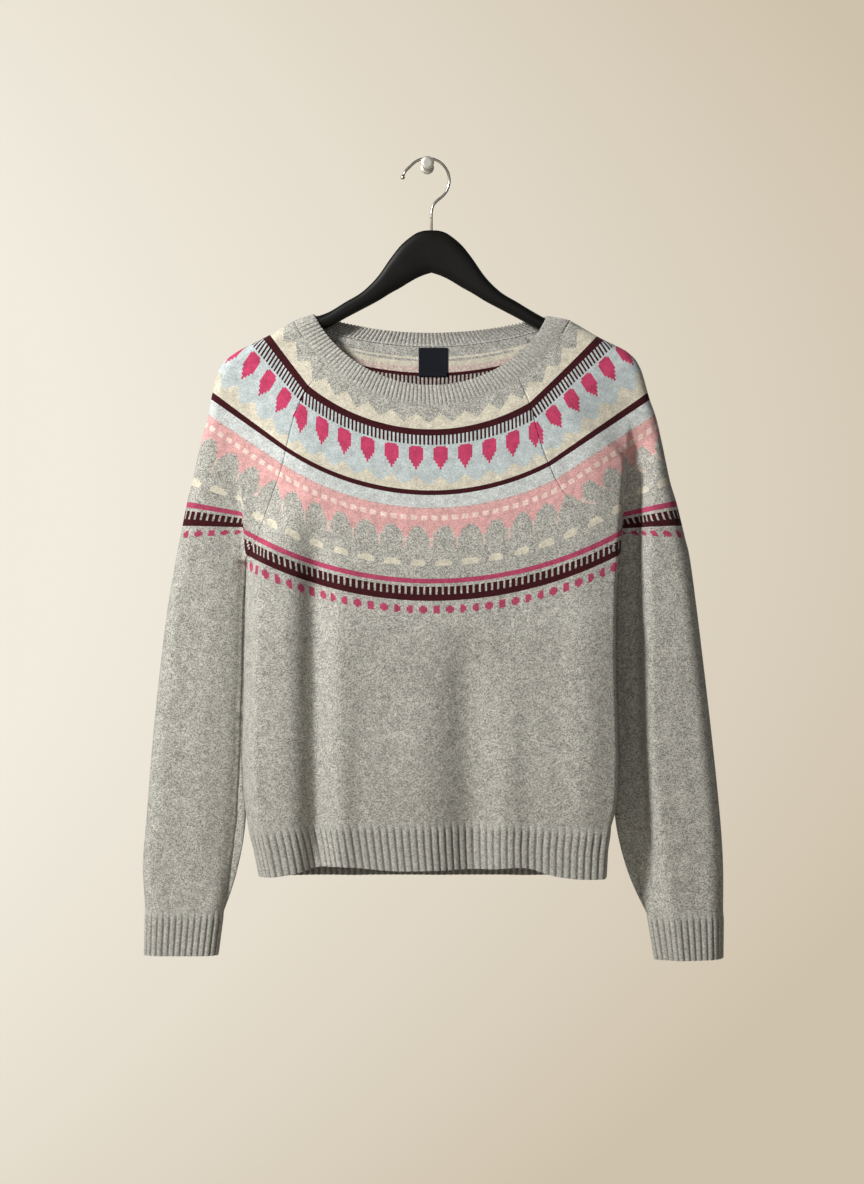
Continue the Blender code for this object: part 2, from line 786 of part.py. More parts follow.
def shoulder_top(x):
    """Top of the hanger's arm where it lies under the shoulder fold."""
    line = OUTLINES[0] if x < 0.0 else OUTLINES[1]
    xs = np.abs(line[:5, 0])
    zs = line[:5, 1]
    z = float(np.interp(abs(x), xs, zs))
    slope = abs(float(np.interp(abs(x) + 4.0, xs, zs)) - float(np.interp(abs(x) - 4.0, xs, zs))) / 8.0
    return z - ARM_UNDER_SHOULDER * math.hypot(1.0, slope)


def hanger_section(x, top, bottom, half, sides=12):
    """Rounded upright section of the hanger at x."""
    ring = []
    middle = 0.5 * (top + bottom)
    tall = 0.5 * (top - bottom)
    for i in range(sides):
        a = 2.0 * math.pi * (i + 0.5) / sides
        ring.append((x + GARMENT_X, MID_Y + half * math.cos(a), middle + tall * math.sin(a)))
    return ring


def build_hanger():
    """Contoured hanger: two sloping arms that rise to the hook's seat."""
    half_rows = []
    for side in (-1.0, 1.0):
        rows = []
        for x, top, bottom, half in HANGER:
            rows.append((side * x, top, bottom, half))
        for x in ARM_X:
            top = shoulder_top(side * x) - TIP_DROP * ease((x - 176.5) / 30.0)
            rows.append((side * x, top, top - ARM_DEPTH, ARM_HALF))
        for x, scale in zip(TIP_X, TIP_SCALE):
            base = shoulder_top(side * TIP_X[0]) - TIP_DROP - 0.5 * ARM_DEPTH
            base -= 0.6 * (x - TIP_X[0])
            reach = 0.5 * ARM_DEPTH * scale
            rows.append((side * x, base + reach, base - reach, ARM_HALF * scale))
        half_rows.append(rows)
    rows = half_rows[0][:0:-1] + half_rows[1]
    sections = [hanger_section(x, top, bottom, half) for x, top, bottom, half in rows]
    verts, faces = loft(sections)
    return make_object("hanger", verts, faces, (0.011, 0.011, 0.010), 0.42, smooth=40.0)


def hook_path():
    """Centre line of the wire from its free end over the knob and down the shank."""
    centre_z = STEM_R + SEAM + WIRE_R - HOOK_R
    points = []
    steps = 22
    for i in range(steps + 1):
        angle = lerp(math.radians(168.0), math.radians(-56.0), i / steps)
        r = HOOK_R + 2.6 * ease(1.0 - i / 3.0)
        points.append((r * math.cos(angle), centre_z + r * math.sin(angle)))
    for x, z in ((8.4, -41.0), (5.6, -44.2), (4.4, -48.0), (GARMENT_X, -53.0)):
        points.append((x, z))
    points.append((GARMENT_X, HANGER[0][1] - 0.45))
    return points


def build_hook(sides=8):
    """Bent wire with a small ball at its free end."""
    path = hook_path()
    start = np.array(path[0])
    way = start - np.array(path[1])
    way /= np.linalg.norm(way)
    ball = 2.4
    stations = [(start + way * (ball * (1.0 + f)), ball * g)
                for f, g in ((0.95, 0.3), (0.7, 0.72), (0.0, 1.0), (-0.7, 0.72))]
    stations += [(np.array(p), WIRE_R) for p in path]
    sections = []
    for i, (p, r) in enumerate(stations):
        before = stations[max(i - 1, 0)][0]
        after = stations[min(i + 1, len(stations) - 1)][0]
        along = after - before
        along = along / np.linalg.norm(along)
        normal = np.array((-along[1], along[0]))
        ring = []
        for j in range(sides):
            a = 2.0 * math.pi * (j + 0.5) / sides
            u = r * math.cos(a)
            ring.append((p[0] + normal[0] * u, MID_Y + r * math.sin(a), p[1] + normal[1] * u))
        sections.append(ring)
    verts, faces = loft(sections)
    return make_object("hook", verts, faces, (0.62, 0.60, 0.56), 0.25, 1.0)


def build_knob(sides=24):
    """Turned knob with its flat foot on the wall and a round head in front."""
    profile = ((0.0, KNOB_R), (2.0, KNOB_R), (3.0, STEM_R), (KNOB_LENGTH - 4.0, STEM_R),
               (KNOB_LENGTH - 3.4, KNOB_R - 0.4), (KNOB_LENGTH - 3.0, KNOB_R),
               (KNOB_LENGTH - 0.6, KNOB_R), (KNOB_LENGTH, KNOB_R - 0.6))
    sections = []
    for depth, r in profile:
        ring = []
        for i in range(sides):
            a = 2.0 * math.pi * i / sides
            ring.append((r * math.cos(a), -depth, r * math.sin(a)))
        sections.append(ring)
    verts, faces = loft(sections)
    return make_object("knob", verts, faces, (0.50, 0.48, 0.44), 0.35, 1.0, smooth=35.0)


for old in list(bpy.data.objects):
    bpy.data.objects.remove(old)
ROOT = bpy.data.objects.new("knit_top", None)
bpy.context.scene.collection.objects.link(ROOT)
build_panel("front", "front")
build_panel("back", "back")
build_sleeve("sleeve_left", SLEEVE_LEFT)
build_sleeve("sleeve_right", SLEEVE_RIGHT)
build_neck_band()
build_hem_rib("hem_rib_front", "front")
build_hem_rib("hem_rib_back", "back")
build_cuff("cuff_left", SLEEVE_LEFT)
build_cuff("cuff_right", SLEEVE_RIGHT)
build_label()
build_hanger()
build_hook()
build_knob()
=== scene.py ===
"""Knitted jumper with a patterned yoke, hung on a hanger from a small round knob.

Axes as in the part: X to the viewer's right, +Y away from the viewer, +Z up, and the
origin at the centre of the knob's foot. Tables are in millimetres.
"""
import math

import bpy
import numpy as np
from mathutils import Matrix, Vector


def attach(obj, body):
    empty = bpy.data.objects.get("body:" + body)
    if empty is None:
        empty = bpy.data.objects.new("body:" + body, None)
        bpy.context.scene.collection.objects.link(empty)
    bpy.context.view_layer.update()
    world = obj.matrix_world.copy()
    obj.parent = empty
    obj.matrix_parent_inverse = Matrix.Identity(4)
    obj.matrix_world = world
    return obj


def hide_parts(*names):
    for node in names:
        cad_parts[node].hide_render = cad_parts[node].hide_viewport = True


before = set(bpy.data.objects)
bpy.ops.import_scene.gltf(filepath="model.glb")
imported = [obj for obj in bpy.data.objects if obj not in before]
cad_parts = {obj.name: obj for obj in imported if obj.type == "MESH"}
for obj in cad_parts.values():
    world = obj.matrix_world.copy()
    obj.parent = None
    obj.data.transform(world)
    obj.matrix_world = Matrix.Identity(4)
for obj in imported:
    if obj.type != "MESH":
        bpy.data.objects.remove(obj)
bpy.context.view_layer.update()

MM = 0.001

# Set and view
# A plain pale floor well below the hanging garment, a cream surround, and a camera
# straight on at mid height, with a large soft light at the upper left.
VIEW_MIDDLE = (4.8, -453.6)
VIEW_HEIGHT = 1243.2
VIEW_DISTANCE = 2400.0
FLOOR_Z = -1800.0
FLOOR_RADIUS = 2400.0
FLOOR_SIDES = 96
FRONT_Y = -45.0


def linear(code):
    """sRGB hex colour turned to linear: a channel up to 0.04045 is divided by 12.92,
    and above it goes through ((c + 0.055) / 1.055) to the power 2.4."""
    channels = [int(code[i:i + 2], 16) / 255.0 for i in (1, 3, 5)]
    light = [c / 12.92 if c <= 0.04045 else ((c + 0.055) / 1.055) ** 2.4 for c in channels]
    return (*light, 1.0)


def node(tree, kind, settings=None, links=None):
    """One node with its settings (a property or an input) and the outputs that feed it."""
    made = tree.nodes.new(kind)
    for key, value in (settings or {}).items():
        if isinstance(key, str) and key in made.bl_rna.properties:
            setattr(made, key, value)
        else:
            made.inputs[key].default_value = value
    for key, source in (links or {}).items():
        tree.links.new(source, made.inputs[key])
    return made


def new_material(name, **sockets):
    """A material with a Principled shader, and the shader's own sockets set."""
    made = bpy.data.materials.new(name)
    made.use_nodes = True
    shader = made.node_tree.nodes["Principled BSDF"]
    for key, value in sockets.items():
        shader.inputs[key.replace("_", " ")].default_value = value
    return made, made.node_tree, shader


def new_object(name, verts, faces, material, smooth=180.0):
    """A mesh object at the origin from points in millimetres."""
    mesh = bpy.data.meshes.new(name)
    mesh.from_pydata((np.asarray(verts) * MM).tolist(), [], faces)
    mesh.materials.append(material)
    mesh.shade_smooth()
    if smooth < 180.0:
        mesh.set_sharp_from_angle(angle=math.radians(smooth))
    made = bpy.data.objects.new(name, mesh)
    bpy.context.scene.collection.objects.link(made)
    return made


angles = np.linspace(0.0, 2.0 * math.pi, FLOOR_SIDES, endpoint=False)
disc = np.stack((FLOOR_RADIUS * np.cos(angles), FLOOR_RADIUS * np.sin(angles),
                 np.full(FLOOR_SIDES, FLOOR_Z)), axis=1)
# matt painted board: an even pale surface with a faint roller grain
board, tree, shader = new_material("painted_board", Roughness=0.9)
coords = node(tree, "ShaderNodeTexCoord")
grain = node(tree, "ShaderNodeTexNoise", {"Scale": 40.0, "Detail": 3.0},
             {"Vector": coords.outputs["Object"]})
tone = node(tree, "ShaderNodeMix", {"data_type": "RGBA", 6: linear("#e6ddcc"),
                                    7: linear("#ddd3c0")}, {0: grain.outputs[0]})
tree.links.new(tone.outputs[2], shader.inputs["Base Color"])
floor = new_object("floor", disc, [list(range(FLOOR_SIDES))], board)

world = bpy.data.worlds.new("surround")
bpy.context.scene.world = world
world.use_nodes = True
tree = world.node_tree
tree.nodes.clear()
path = node(tree, "ShaderNodeLightPath")
coords = node(tree, "ShaderNodeTexCoord")
across = node(tree, "ShaderNodeSeparateXYZ", None, {0: coords.outputs["Generated"]})
# painted shade on the surround: darker to the right and, by the square of the height, above and
# below
square = node(tree, "ShaderNodeMath", {"operation": "MULTIPLY"},
              {0: across.outputs["Z"], 1: across.outputs["Z"]})
bowed = node(tree, "ShaderNodeMath", {"operation": "MULTIPLY_ADD", 1: 2.4},
             {0: square.outputs[0], 2: across.outputs["X"]})
sunk = node(tree, "ShaderNodeMath", {"operation": "MULTIPLY_ADD", 1: -0.2},
            {0: across.outputs["Z"], 2: bowed.outputs[0]})
shade = node(tree, "ShaderNodeMapRange", {"From Min": -0.16, "From Max": 0.26},
             {"Value": sunk.outputs[0]})
seen = node(tree, "ShaderNodeMix", {"data_type": "RGBA", 6: linear("#f2ecdf"),
                                    7: linear("#cfc2ac")}, {0: shade.outputs[0]})
backdrop = node(tree, "ShaderNodeBackground", {"Strength": 1.0}, {"Color": seen.outputs[2]})
ambient = node(tree, "ShaderNodeBackground", {"Color": linear("#f3f2ee"), "Strength": 0.15})
either = node(tree, "ShaderNodeMixShader", None,
              {0: path.outputs["Is Camera Ray"], 1: ambient.outputs[0],
               2: backdrop.outputs[0]})
node(tree, "ShaderNodeOutputWorld", None, {"Surface": either.outputs[0]})

LIGHT_AIM = (0.0, 0.0, -430.0)
LIGHT_COLUMNS = ("name", "x", "y", "z", "size", "watts")
LIGHTS = (
    ("key", -1700.0, -1450.0, 850.0, 380.0, 86.0),
    ("fill", -300.0, -2600.0, -100.0, 1600.0, 4.5),
    ("rear", 600.0, 2200.0, 600.0, 1800.0, 22.0),
)
for name, x, y, z, size, watts in LIGHTS:
    lamp = bpy.data.lights.new(name, "AREA")
    lamp.energy = watts
    lamp.size = size * MM
    lamp.color = linear("#fffdfa")[:3]
    holder = bpy.data.objects.new(name, lamp)
    bpy.context.scene.collection.objects.link(holder)
    place = Vector((x, y, z)) * MM
    aim = Vector(LIGHT_AIM) * MM
    holder.location = place
    holder.rotation_euler = (aim - place).to_track_quat("-Z", "Y").to_euler()

lens = bpy.data.cameras.new("camera")
lens.sensor_fit = "VERTICAL"
lens.sensor_height = 36.0
lens.lens = 36.0 * VIEW_DISTANCE / VIEW_HEIGHT
lens.clip_end = 50.0
camera = bpy.data.objects.new("camera", lens)
bpy.context.scene.collection.objects.link(camera)
camera.location = Vector((VIEW_MIDDLE[0], FRONT_Y - VIEW_DISTANCE, VIEW_MIDDLE[1])) * MM
camera.rotation_euler = (math.radians(90.0), 0.0, 0.0)
bpy.context.scene.camera = camera
bpy.context.scene.view_settings.view_transform = "Standard"

# Knob
# A small turned knob of brushed steel with a round foot; the hook hangs on its neck,
# behind the head.
STEM_R = 4.0
KNOB_PROFILE_COLUMNS = ("depth", "radius")
KNOB_PROFILE = (
    (0.0, 7.0), (1.7, 7.0), (2.0, 6.7), (2.4, 4.6), (3.2, STEM_R), (27.2, STEM_R),
    (27.6, 4.6), (27.8, 6.2), (28.2, 6.8), (28.8, 7.0), (30.4, 7.0), (31.1, 6.7),
    (31.5, 6.1), (31.5, 3.0),
)


def tube_faces(rings, sides):
    """Quads between one ring of points and the next, and one face on each end."""
    r, c = np.meshgrid(np.arange(rings - 1), np.arange(sides), indexing="ij")
    d = (c + 1) % sides
    quads = np.stack((r * sides + c, r * sides + d, (r + 1) * sides + d,
                      (r + 1) * sides + c), axis=-1).reshape(-1, 4)
    first = list(range(sides))[::-1]
    last = [(rings - 1) * sides + k for k in range(sides)]
    return quads.tolist() + [first, last]


def turned(profile, sides):
    """Lathe about the Y axis: each row of depth and radius makes one ring, and the ring
    at angle a lies at (r cos a, -depth, r sin a). The ends close on their middles."""
    rows = np.array(profile)
    a = np.linspace(0.0, 2.0 * math.pi, sides, endpoint=False)
    x = rows[:, 1:2] * np.cos(a)
    z = rows[:, 1:2] * np.sin(a)
    y = np.repeat(-rows[:, 0:1], sides, axis=1)
    verts = np.stack((x, y, z), axis=-1).reshape(-1, 3)
    return verts, tube_faces(len(rows), sides)


# brushed stainless steel: soft round highlights, drawn out along the turning marks
steel, tree, shader = new_material("brushed_steel", Metallic=1.0, Roughness=0.45)
coords = node(tree, "ShaderNodeTexCoord")
apart = node(tree, "ShaderNodeSeparateXYZ", None, {0: coords.outputs["Object"]})
square_x = node(tree, "ShaderNodeMath", {"operation": "POWER", 1: 2.0}, {0: apart.outputs[0]})
square_z = node(tree, "ShaderNodeMath", {"operation": "POWER", 1: 2.0}, {0: apart.outputs[2]})
both = node(tree, "ShaderNodeMath", {"operation": "ADD"},
            {0: square_x.outputs[0], 1: square_z.outputs[0]})
reach = node(tree, "ShaderNodeMath", {"operation": "SQRT"}, {0: both.outputs[0]})
# turning marks 0.5 mm apart
rings = node(tree, "ShaderNodeTexNoise", {"noise_dimensions": "1D", "Scale": 2000.0,
                                          "Detail": 2.0}, {"W": reach.outputs[0]})
tone = node(tree, "ShaderNodeMix", {"data_type": "RGBA", 6: linear("#cfccc2"),
                                    7: linear("#efece3")}, {0: rings.outputs[0]})
tree.links.new(tone.outputs[2], shader.inputs["Base Color"])
marks = node(tree, "ShaderNodeBump", {"Strength": 0.15, "Distance": 0.0002},
             {"Height": rings.outputs[0]})
tree.links.new(marks.outputs[0], shader.inputs["Normal"])
verts, faces = turned(KNOB_PROFILE, 64)
knob = new_object("wall_knob", verts, faces, steel, 35.0)
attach(knob, "root")
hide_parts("knob")

# Hook
# Bent bright steel wire, 3 mm thick, screwed into the hanger; a small ball closes its
# free end.
MID_Y = -24.0
GARMENT_X = 4.2
WIRE_R = 1.5
HOOK_R = 23.3
BALL_R = 2.4
HANGER_TOP_Z = -70.4


def swept(points, radii, sides):
    """Tube in the picture plane: at each point of the path a circle stands square to it,
    at (across cos a, sin a) times its radius. The ends close flat."""
    points = np.asarray(points)
    along = np.gradient(points, axis=0)
    along /= np.linalg.norm(along, axis=1)[:, None]
    across = np.stack((-along[:, 1], along[:, 0]), axis=1)
    a = np.linspace(0.0, 2.0 * math.pi, sides, endpoint=False)
    reach = np.asarray(radii)[:, None]
    x = points[:, 0:1] + across[:, 0:1] * reach * np.cos(a)
    z = points[:, 1:2] + across[:, 1:2] * reach * np.cos(a)
    y = MID_Y + reach * np.sin(a)
    verts = np.stack((x, y, z), axis=-1).reshape(-1, 3)
    return verts, tube_faces(len(points), sides)


def ease(t):
    """Smooth step: 3 t squared less 2 t cubed, held between 0 and 1."""
    t = np.clip(t, 0.0, 1.0)
    return t * t * (3.0 - 2.0 * t)


turn = np.linspace(0.0, 1.0, 70)
angle = np.radians(168.0 - 224.0 * turn)
bow = HOOK_R + 2.6 * ease(1.0 - turn * 22.0 / 3.0)
centre_z = STEM_R + 0.3 + WIRE_R - HOOK_R
hoop = np.stack((bow * np.cos(angle), centre_z + bow * np.sin(angle)), axis=1)
bend = np.array(((10.6, -38.9), (8.2, -41.2), (6.2, -43.9), (4.9, -47.4), (4.3, -51.2),
                 (GARMENT_X, -56.0), (GARMENT_X, -63.0), (GARMENT_X, HANGER_TOP_Z - 0.4)))
way = hoop[0] - hoop[1]
way /= np.linalg.norm(way)
cap_turn = np.linspace(0.06, 0.75, 9) * math.pi
cap = hoop[0] + way * (BALL_R * (1.0 + np.cos(cap_turn)))[:, None]
path = np.concatenate((cap, hoop, bend))
radii = np.concatenate((BALL_R * np.sin(cap_turn), np.full(len(hoop) + len(bend), WIRE_R)))
# bright drawn steel wire: a thin white line of light with dark sides
wire, tree, shader = new_material("bright_wire", Metallic=1.0, Roughness=0.22)
coords = node(tree, "ShaderNodeTexCoord")
# faint drawing marks and dulled spots, 3 mm apart
spots = node(tree, "ShaderNodeTexNoise", {"Scale": 330.0, "Detail": 3.0},
             {"Vector": coords.outputs["Object"]})
tone = node(tree, "ShaderNodeMix", {"data_type": "RGBA", 6: linear("#a8a294"),
                                    7: linear("#d6d1c5")}, {0: spots.outputs[0]})
tree.links.new(tone.outputs[2], shader.inputs["Base Color"])
verts, faces = swept(path, radii, 20)
hook = new_object("hanger_hook", verts, faces, wire, 50.0)
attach(hook, "root")
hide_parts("hook")

# Front and back of the body
# Fine single knit in marled lambswool, a patterned yoke knitted in above plain grey.
# Each panel is seamed to the sleeves along its raglan edges and to its twin at the sides.
WALL = 2.2                  # cloth thickness
SHELL = WALL - 0.1          # thickness of the scene's own wall
SEAM = 0.3                  # gap between pieces that are sewn together
NECK_GAP = 0.15             # half the gap at the neck seam
STITCH = 2.15               # width and height of one stitch
COURSE = 1.65
PLAIN_COURSES = 2           # courses to a row of faces below the yoke
# Folds: how far the cloth stands off its middle plane, at the shoulders and at the
# sleeves, and the width over which it rounds off, on the body for each side.
FOLD_FRONT = (11.0, 13.0)
FOLD_BACK = (11.0, 11.0)
FOLD_WIDTH_SHOULDER = 11.5
FOLD_WIDTH_SLEEVE = 18.0
FOLD_WIDTH_BODY = {-1: 7.0, 1: 4.5}
UPPER_Z = -230.0
LOWER_Z = -420.0
# Extra height of the front below the underarm, and of the right sleeve past its recess.
SIDE_LIFT = 5.0
SIDE_LIFT_ABOVE = 20.0
SIDE_LIFT_LENGTH = 60.0
SLEEVE_LIFT = 8.0
SLEEVE_LIFT_Z = -290.0
SLEEVE_LIFT_LENGTH = 80.0
SLEEVE_LIFT_START = 12.0
SLEEVE_LIFT_WIDTH = 16.0
# Reach of the chest's bulge from its edges, above and low down on each side, and the
# height and length over which the low one sets in.
BODY_REACH = 85.0
BODY_REACH_LOW = {-1: 18.0, 1: 6.0}
REACH_CHANGE_COLUMNS = ("start_z", "length")
REACH_CHANGE = {-1: (-340.0, 100.0), 1: (-262.0, 60.0)}
EDGE_SHARE = 0.84
EDGE_SLOPE = 50.0
NECK_CENTRE_Z = -96.3
NECK_SEAM_R = 162.0
NECK_END_LEFT = (-124.3, -159.6)
NECK_END_RIGHT = (122.4, -161.5)
BACK_SEAM_Z = -193.0
BACK_RAGLAN_X = 98.0        # top of the back raglan seam, and how far the seam bows out
BACK_RAGLAN_BOW = 20.0

# One row for each knitted course that is followed: where it meets the outer fold and
# the raglan seam (or, below the underarm, the inner fold of the sleeve).
SLEEVE_COLUMNS = ("course", "out_x", "out_z", "in_x", "in_z")
SLEEVE_LEFT = (
    ("neck seam", -145.8, -166.5, -112.4, -213.0),
    ("comb", -174.7, -183.2, -130.6, -240.5),
    ("petals", -206.2, -199.5, -142.7, -266.2),
    ("shoulder tip", -224.1, -216.3, -148.5, -286.7),
    ("thin line", -232.9, -247.3, -152.7, -304.5),
    ("pink band", -236.7, -268.8, -156.8, -322.4),
    ("arches", -244.0, -295.1, -165.3, -346.5),
    ("dashes", -253.5, -337.1, -176.3, -376.9),
    ("pink line", -259.2, -361.2, -183.6, -396.4),
    ("dots", -266.1, -395.9, -190.5, -410.6),
    ("underarm", -270.8, -420.0, -195.9, -422.1),
    ("upper arm", -279.7, -472.5, -198.8, -474.6),
    ("elbow top", -288.6, -546.0, -200.3, -548.1),
    ("elbow", -296.0, -619.5, -202.6, -620.6),
    ("forearm", -301.8, -693.0, -206.2, -694.1),
    ("wrist", -305.6, -743.4, -212.5, -744.5),
    ("cuff top", -303.3, -788.6, -219.3, -790.6),
    ("cuff end", -303.9, -837.4, -225.6, -837.4),
)
SLEEVE_RIGHT = (
    ("neck seam", 146.6, -165.9, 92.0, -229.7),
    ("comb", 179.1, -184.8, 104.1, -258.3),
    ("petals", 207.5, -199.5, 111.4, -285.6),
    ("shoulder tip", 221.1, -216.3, 117.2, -304.5),
    ("thin line", 230.6, -247.8, 123.5, -320.2),
    ("pink band", 237.9, -268.8, 131.6, -338.1),
    ("arches", 244.5, -297.2, 145.0, -359.1),
    ("dashes", 252.6, -336.0, 165.0, -383.2),
    ("pink line", 259.8, -360.2, 179.1, -401.1),
    ("dots", 268.4, -395.9, 190.0, -412.1),
    ("underarm", 273.6, -417.9, 198.9, -421.6),
    ("upper arm", 281.0, -472.5, 199.8, -474.6),
    ("elbow top", 289.9, -546.0, 200.2, -548.1),
    ("elbow", 298.3, -619.5, 202.6, -620.6),
    ("forearm", 305.7, -693.0, 209.6, -694.1),
    ("wrist", 308.8, -743.4, 216.4, -743.4),
    ("cuff top", 308.8, -790.6, 227.4, -792.8),
    ("cuff end", 308.3, -840.0, 235.8, -842.1),
)

# The same courses at the middle of the front and of the back, with the radius of the
# arc that each makes on the front.
YOKE_COLUMNS = ("course", "front_z", "front_r", "back_z")
YOKE = (
    ("neck seam", -258.3, 162.0, -193.0),
    ("comb", -286.3, 209.0, -224.0),
    ("petals", -311.9, 245.7, -253.0),
    ("shoulder tip", -331.8, 256.0, -276.0),
    ("thin line", -350.7, 266.2, -300.0),
    ("pink band", -368.6, 289.0, -324.0),
    ("arches", -393.8, 315.0, -352.0),
    ("dashes", -423.7, 352.0, -384.0),
    ("pink line", -441.6, 375.0, -408.0),
    ("dots", -456.8, 420.0, -424.0),
    ("underarm", -470.4, 480.0, -436.0),
)
UNDERARM = 10

# Side folds of the body below the underarm, and the middle heights of the rows there.
BODY_COLUMNS = ("side_z", "left_x", "right_x", "front_z", "back_z")
BODY = (
    (-422.1, -195.9, 198.9, -470.4, -436.0),
    (-452.0, -196.9, 196.6, -494.0, -462.0),
    (-484.1, -197.4, 195.6, -520.0, -492.0),
    (-516.0, -198.2, 195.4, -546.0, -522.0),
    (-548.1, -198.7, 195.9, -572.0, -552.0),
    (-589.1, -199.6, 197.2, -604.0, -590.0),
    (-629.0, -200.4, 198.3, -636.0, -628.0),
    (-661.5, -199.2, 197.5, -662.0, -659.0),
    (-684.6, -196.8, 195.1, -680.0, -682.0),
    (-701.0, -194.2, 190.2, -693.0, -698.0),
    (-726.0, -187.5, 186.1, -718.0, -724.0),
    (-753.5, -182.1, 184.7, -744.8, -750.0),
)
RIB_TOP = 9

# Bulge of the body beyond its side folds, front and back.
BULGE_COLUMNS = ("z", "front", "back")
BULGE = (
    (-160.0, 2.0, 1.0),
    (-258.0, 12.0, 2.5),
    (-350.0, 20.0, 4.0),
    (-440.0, 27.0, 5.0),
    (-560.0, 28.0, 5.0),
    (-660.0, 25.0, 4.5),
    (-700.0, 21.0, 4.0),
    (-755.0, 19.0, 3.5),
)

# Large soft folds, deeper than those of the part and partly in another place, and small
# ones that only show up close: troughs have a positive depth, ridges a negative one.
CREASE_COLUMNS = ("face", "x_top", "z_top", "x_end", "z_end", "width", "depth")
CREASES = (
    ("front", -122.0, -350.0, -119.0, -800.0, 15.0, 17.0),
    ("front", -98.0, -440.0, -99.0, -760.0, 20.0, -3.0),
    ("front", 38.0, -470.0, 42.0, -800.0, 24.0, 10.0),
    ("front", 96.0, -520.0, 104.0, -760.0, 15.0, 2.0),
    ("front", 166.0, -400.0, 166.0, -760.0, 26.0, -5.0),
    ("front", -72.0, -560.0, -80.0, -760.0, 9.0, 1.0),
    ("front", -20.0, -560.0, -24.0, -760.0, 30.0, -2.5),
    ("front", 90.0, -430.0, 60.0, -640.0, 16.0, 1.5),
    ("front", -50.0, -520.0, -30.0, -700.0, 18.0, 1.2),
    ("back", -70.0, -430.0, -84.0, -760.0, 16.0, 3.5),
    ("back", 92.0, -460.0, 101.0, -760.0, 15.0, 3.5),
    ("back", -150.0, -480.0, -146.0, -760.0, 11.0, 2.0),
    ("back", 12.0, -540.0, 6.0, -760.0, 18.0, 2.0),
    ("back", 150.0, -440.0, 158.0, -700.0, 9.0, 1.6),
)


def column(rows, names, name):
    """One named column of a table."""
    return np.array([row[names.index(name)] for row in rows], dtype=float)


def smooth(at, keys, values):
    """Values between table rows on a cubic through them, with the slope at each row
    taken from its neighbours."""
    slopes = np.gradient(values, keys)
    k = np.clip(np.searchsorted(keys, at, side="right") - 1, 0, len(keys) - 2)
    h = keys[k + 1] - keys[k]
    t = np.clip((at - keys[k]) / h, 0.0, 1.0)
    start = (1.0 + 2.0 * t) * (1.0 - t) ** 2 * values[k] + t * (1.0 - t) ** 2 * h * slopes[k]
    end = t * t * (3.0 - 2.0 * t) * values[k + 1] + t * t * (t - 1.0) * h * slopes[k + 1]
    return start + end


def distance(x, z, line):
    """Shortest distance from each point to a line of points: the least over its pieces
    of the distance to the nearest place on that piece."""
    best = np.full(np.shape(x), 1e9)
    for (ax, az), (bx, bz) in zip(line[:-1], line[1:]):
        dx = bx - ax
        dz = bz - az
        t = np.clip(((x - ax) * dx + (z - az) * dz) / (dx * dx + dz * dz), 0.0, 1.0)
        best = np.minimum(best, np.hypot(x - ax - t * dx, z - az - t * dz))
    return best


def outer_edge(rows, neck_end):
    """Outer fold of shoulder and sleeve from the neck opening down to the cuff."""
    keys = np.arange(len(rows), dtype=float)
    at = np.arange(0.0, len(rows) - 1 + 0.01, 0.25)
    x = smooth(at, keys, column(rows, SLEEVE_COLUMNS, "out_x"))
    z = smooth(at, keys, column(rows, SLEEVE_COLUMNS, "out_z"))
    return np.concatenate(([neck_end], np.stack((x, z), axis=1)))


EDGES = {-1: outer_edge(SLEEVE_LEFT, NECK_END_LEFT),
         1: outer_edge(SLEEVE_RIGHT, NECK_END_RIGHT)}
SLEEVES = {-1: SLEEVE_LEFT, 1: SLEEVE_RIGHT}


def side_line(z, side):
    """Side fold of the body, going on above the underarm to the shoulder tip."""
    name = "left_x" if side < 0 else "right_x"
    zs = column(BODY, BODY_COLUMNS, "side_z")
    xs = column(BODY, BODY_COLUMNS, name)
    tip = SLEEVES[side][3]
    zs = np.concatenate(([tip[2]], zs))
    xs = np.concatenate(([tip[1]], xs))
    return np.interp(-z, -zs, xs)


def side_fold(z, side):
    """Where the front folds over the sleeve: the body's side line and, above the
    underarm, the valley, which leans outwards a little."""
    valley_x, valley_z = SLEEVES[side][UNDERARM][3], SLEEVES[side][UNDERARM][4]
    return np.where(z > valley_z, valley_x + side * 0.06 * (z - valley_z),
                    side_line(z, side))


def body_rise(x, z, face):
    """Bulge of chest and back: the table's bulge times a smooth step of the distance
    from the side folds and the shoulders. Low down on the front the step is shorter,
    on the right most of all, where the cloth stands up sharply beside the sleeve."""
    reach = np.ones(np.shape(x))
    slope = np.ones(np.shape(x))
    for side in (-1, 1):
        start, length = REACH_CHANGE[side]
        low = ease((start - z) / length) if face == "front" else 0.0
        width = BODY_REACH + (BODY_REACH_LOW[side] - BODY_REACH) * low
        edge_x = side_line(z, side)
        if side > 0:
            edge_x = edge_x + (side_fold(z, side) - edge_x) * low
        reach = np.minimum(reach, (edge_x - x) * side / width)
        gentle = EDGE_SHARE + (1.0 - EDGE_SHARE) * ease((edge_x - x) * side / EDGE_SLOPE)
        slope = np.minimum(slope, 1.0 + (gentle - 1.0) * low)
        reach = np.minimum(reach, distance(x, z, EDGES[side]) / BODY_REACH)
    high = smooth(-z, -column(BULGE, BULGE_COLUMNS, "z"), column(BULGE, BULGE_COLUMNS, face))
    return high * ease(reach) * slope


def crease(x, z, face):
    """Depth of the soft folds: a bell across each fold's line, growing along it."""
    total = np.zeros(np.shape(x))
    for name, x_top, z_top, x_end, z_end, width, depth in CREASES:
        if name != face:
            continue
        share = (z_top - z) / (z_top - z_end)
        middle = x_top + (x_end - x_top) * share
        total += depth * ease(share * 3.5) * np.exp(-((x - middle) / width) ** 2)
    return total


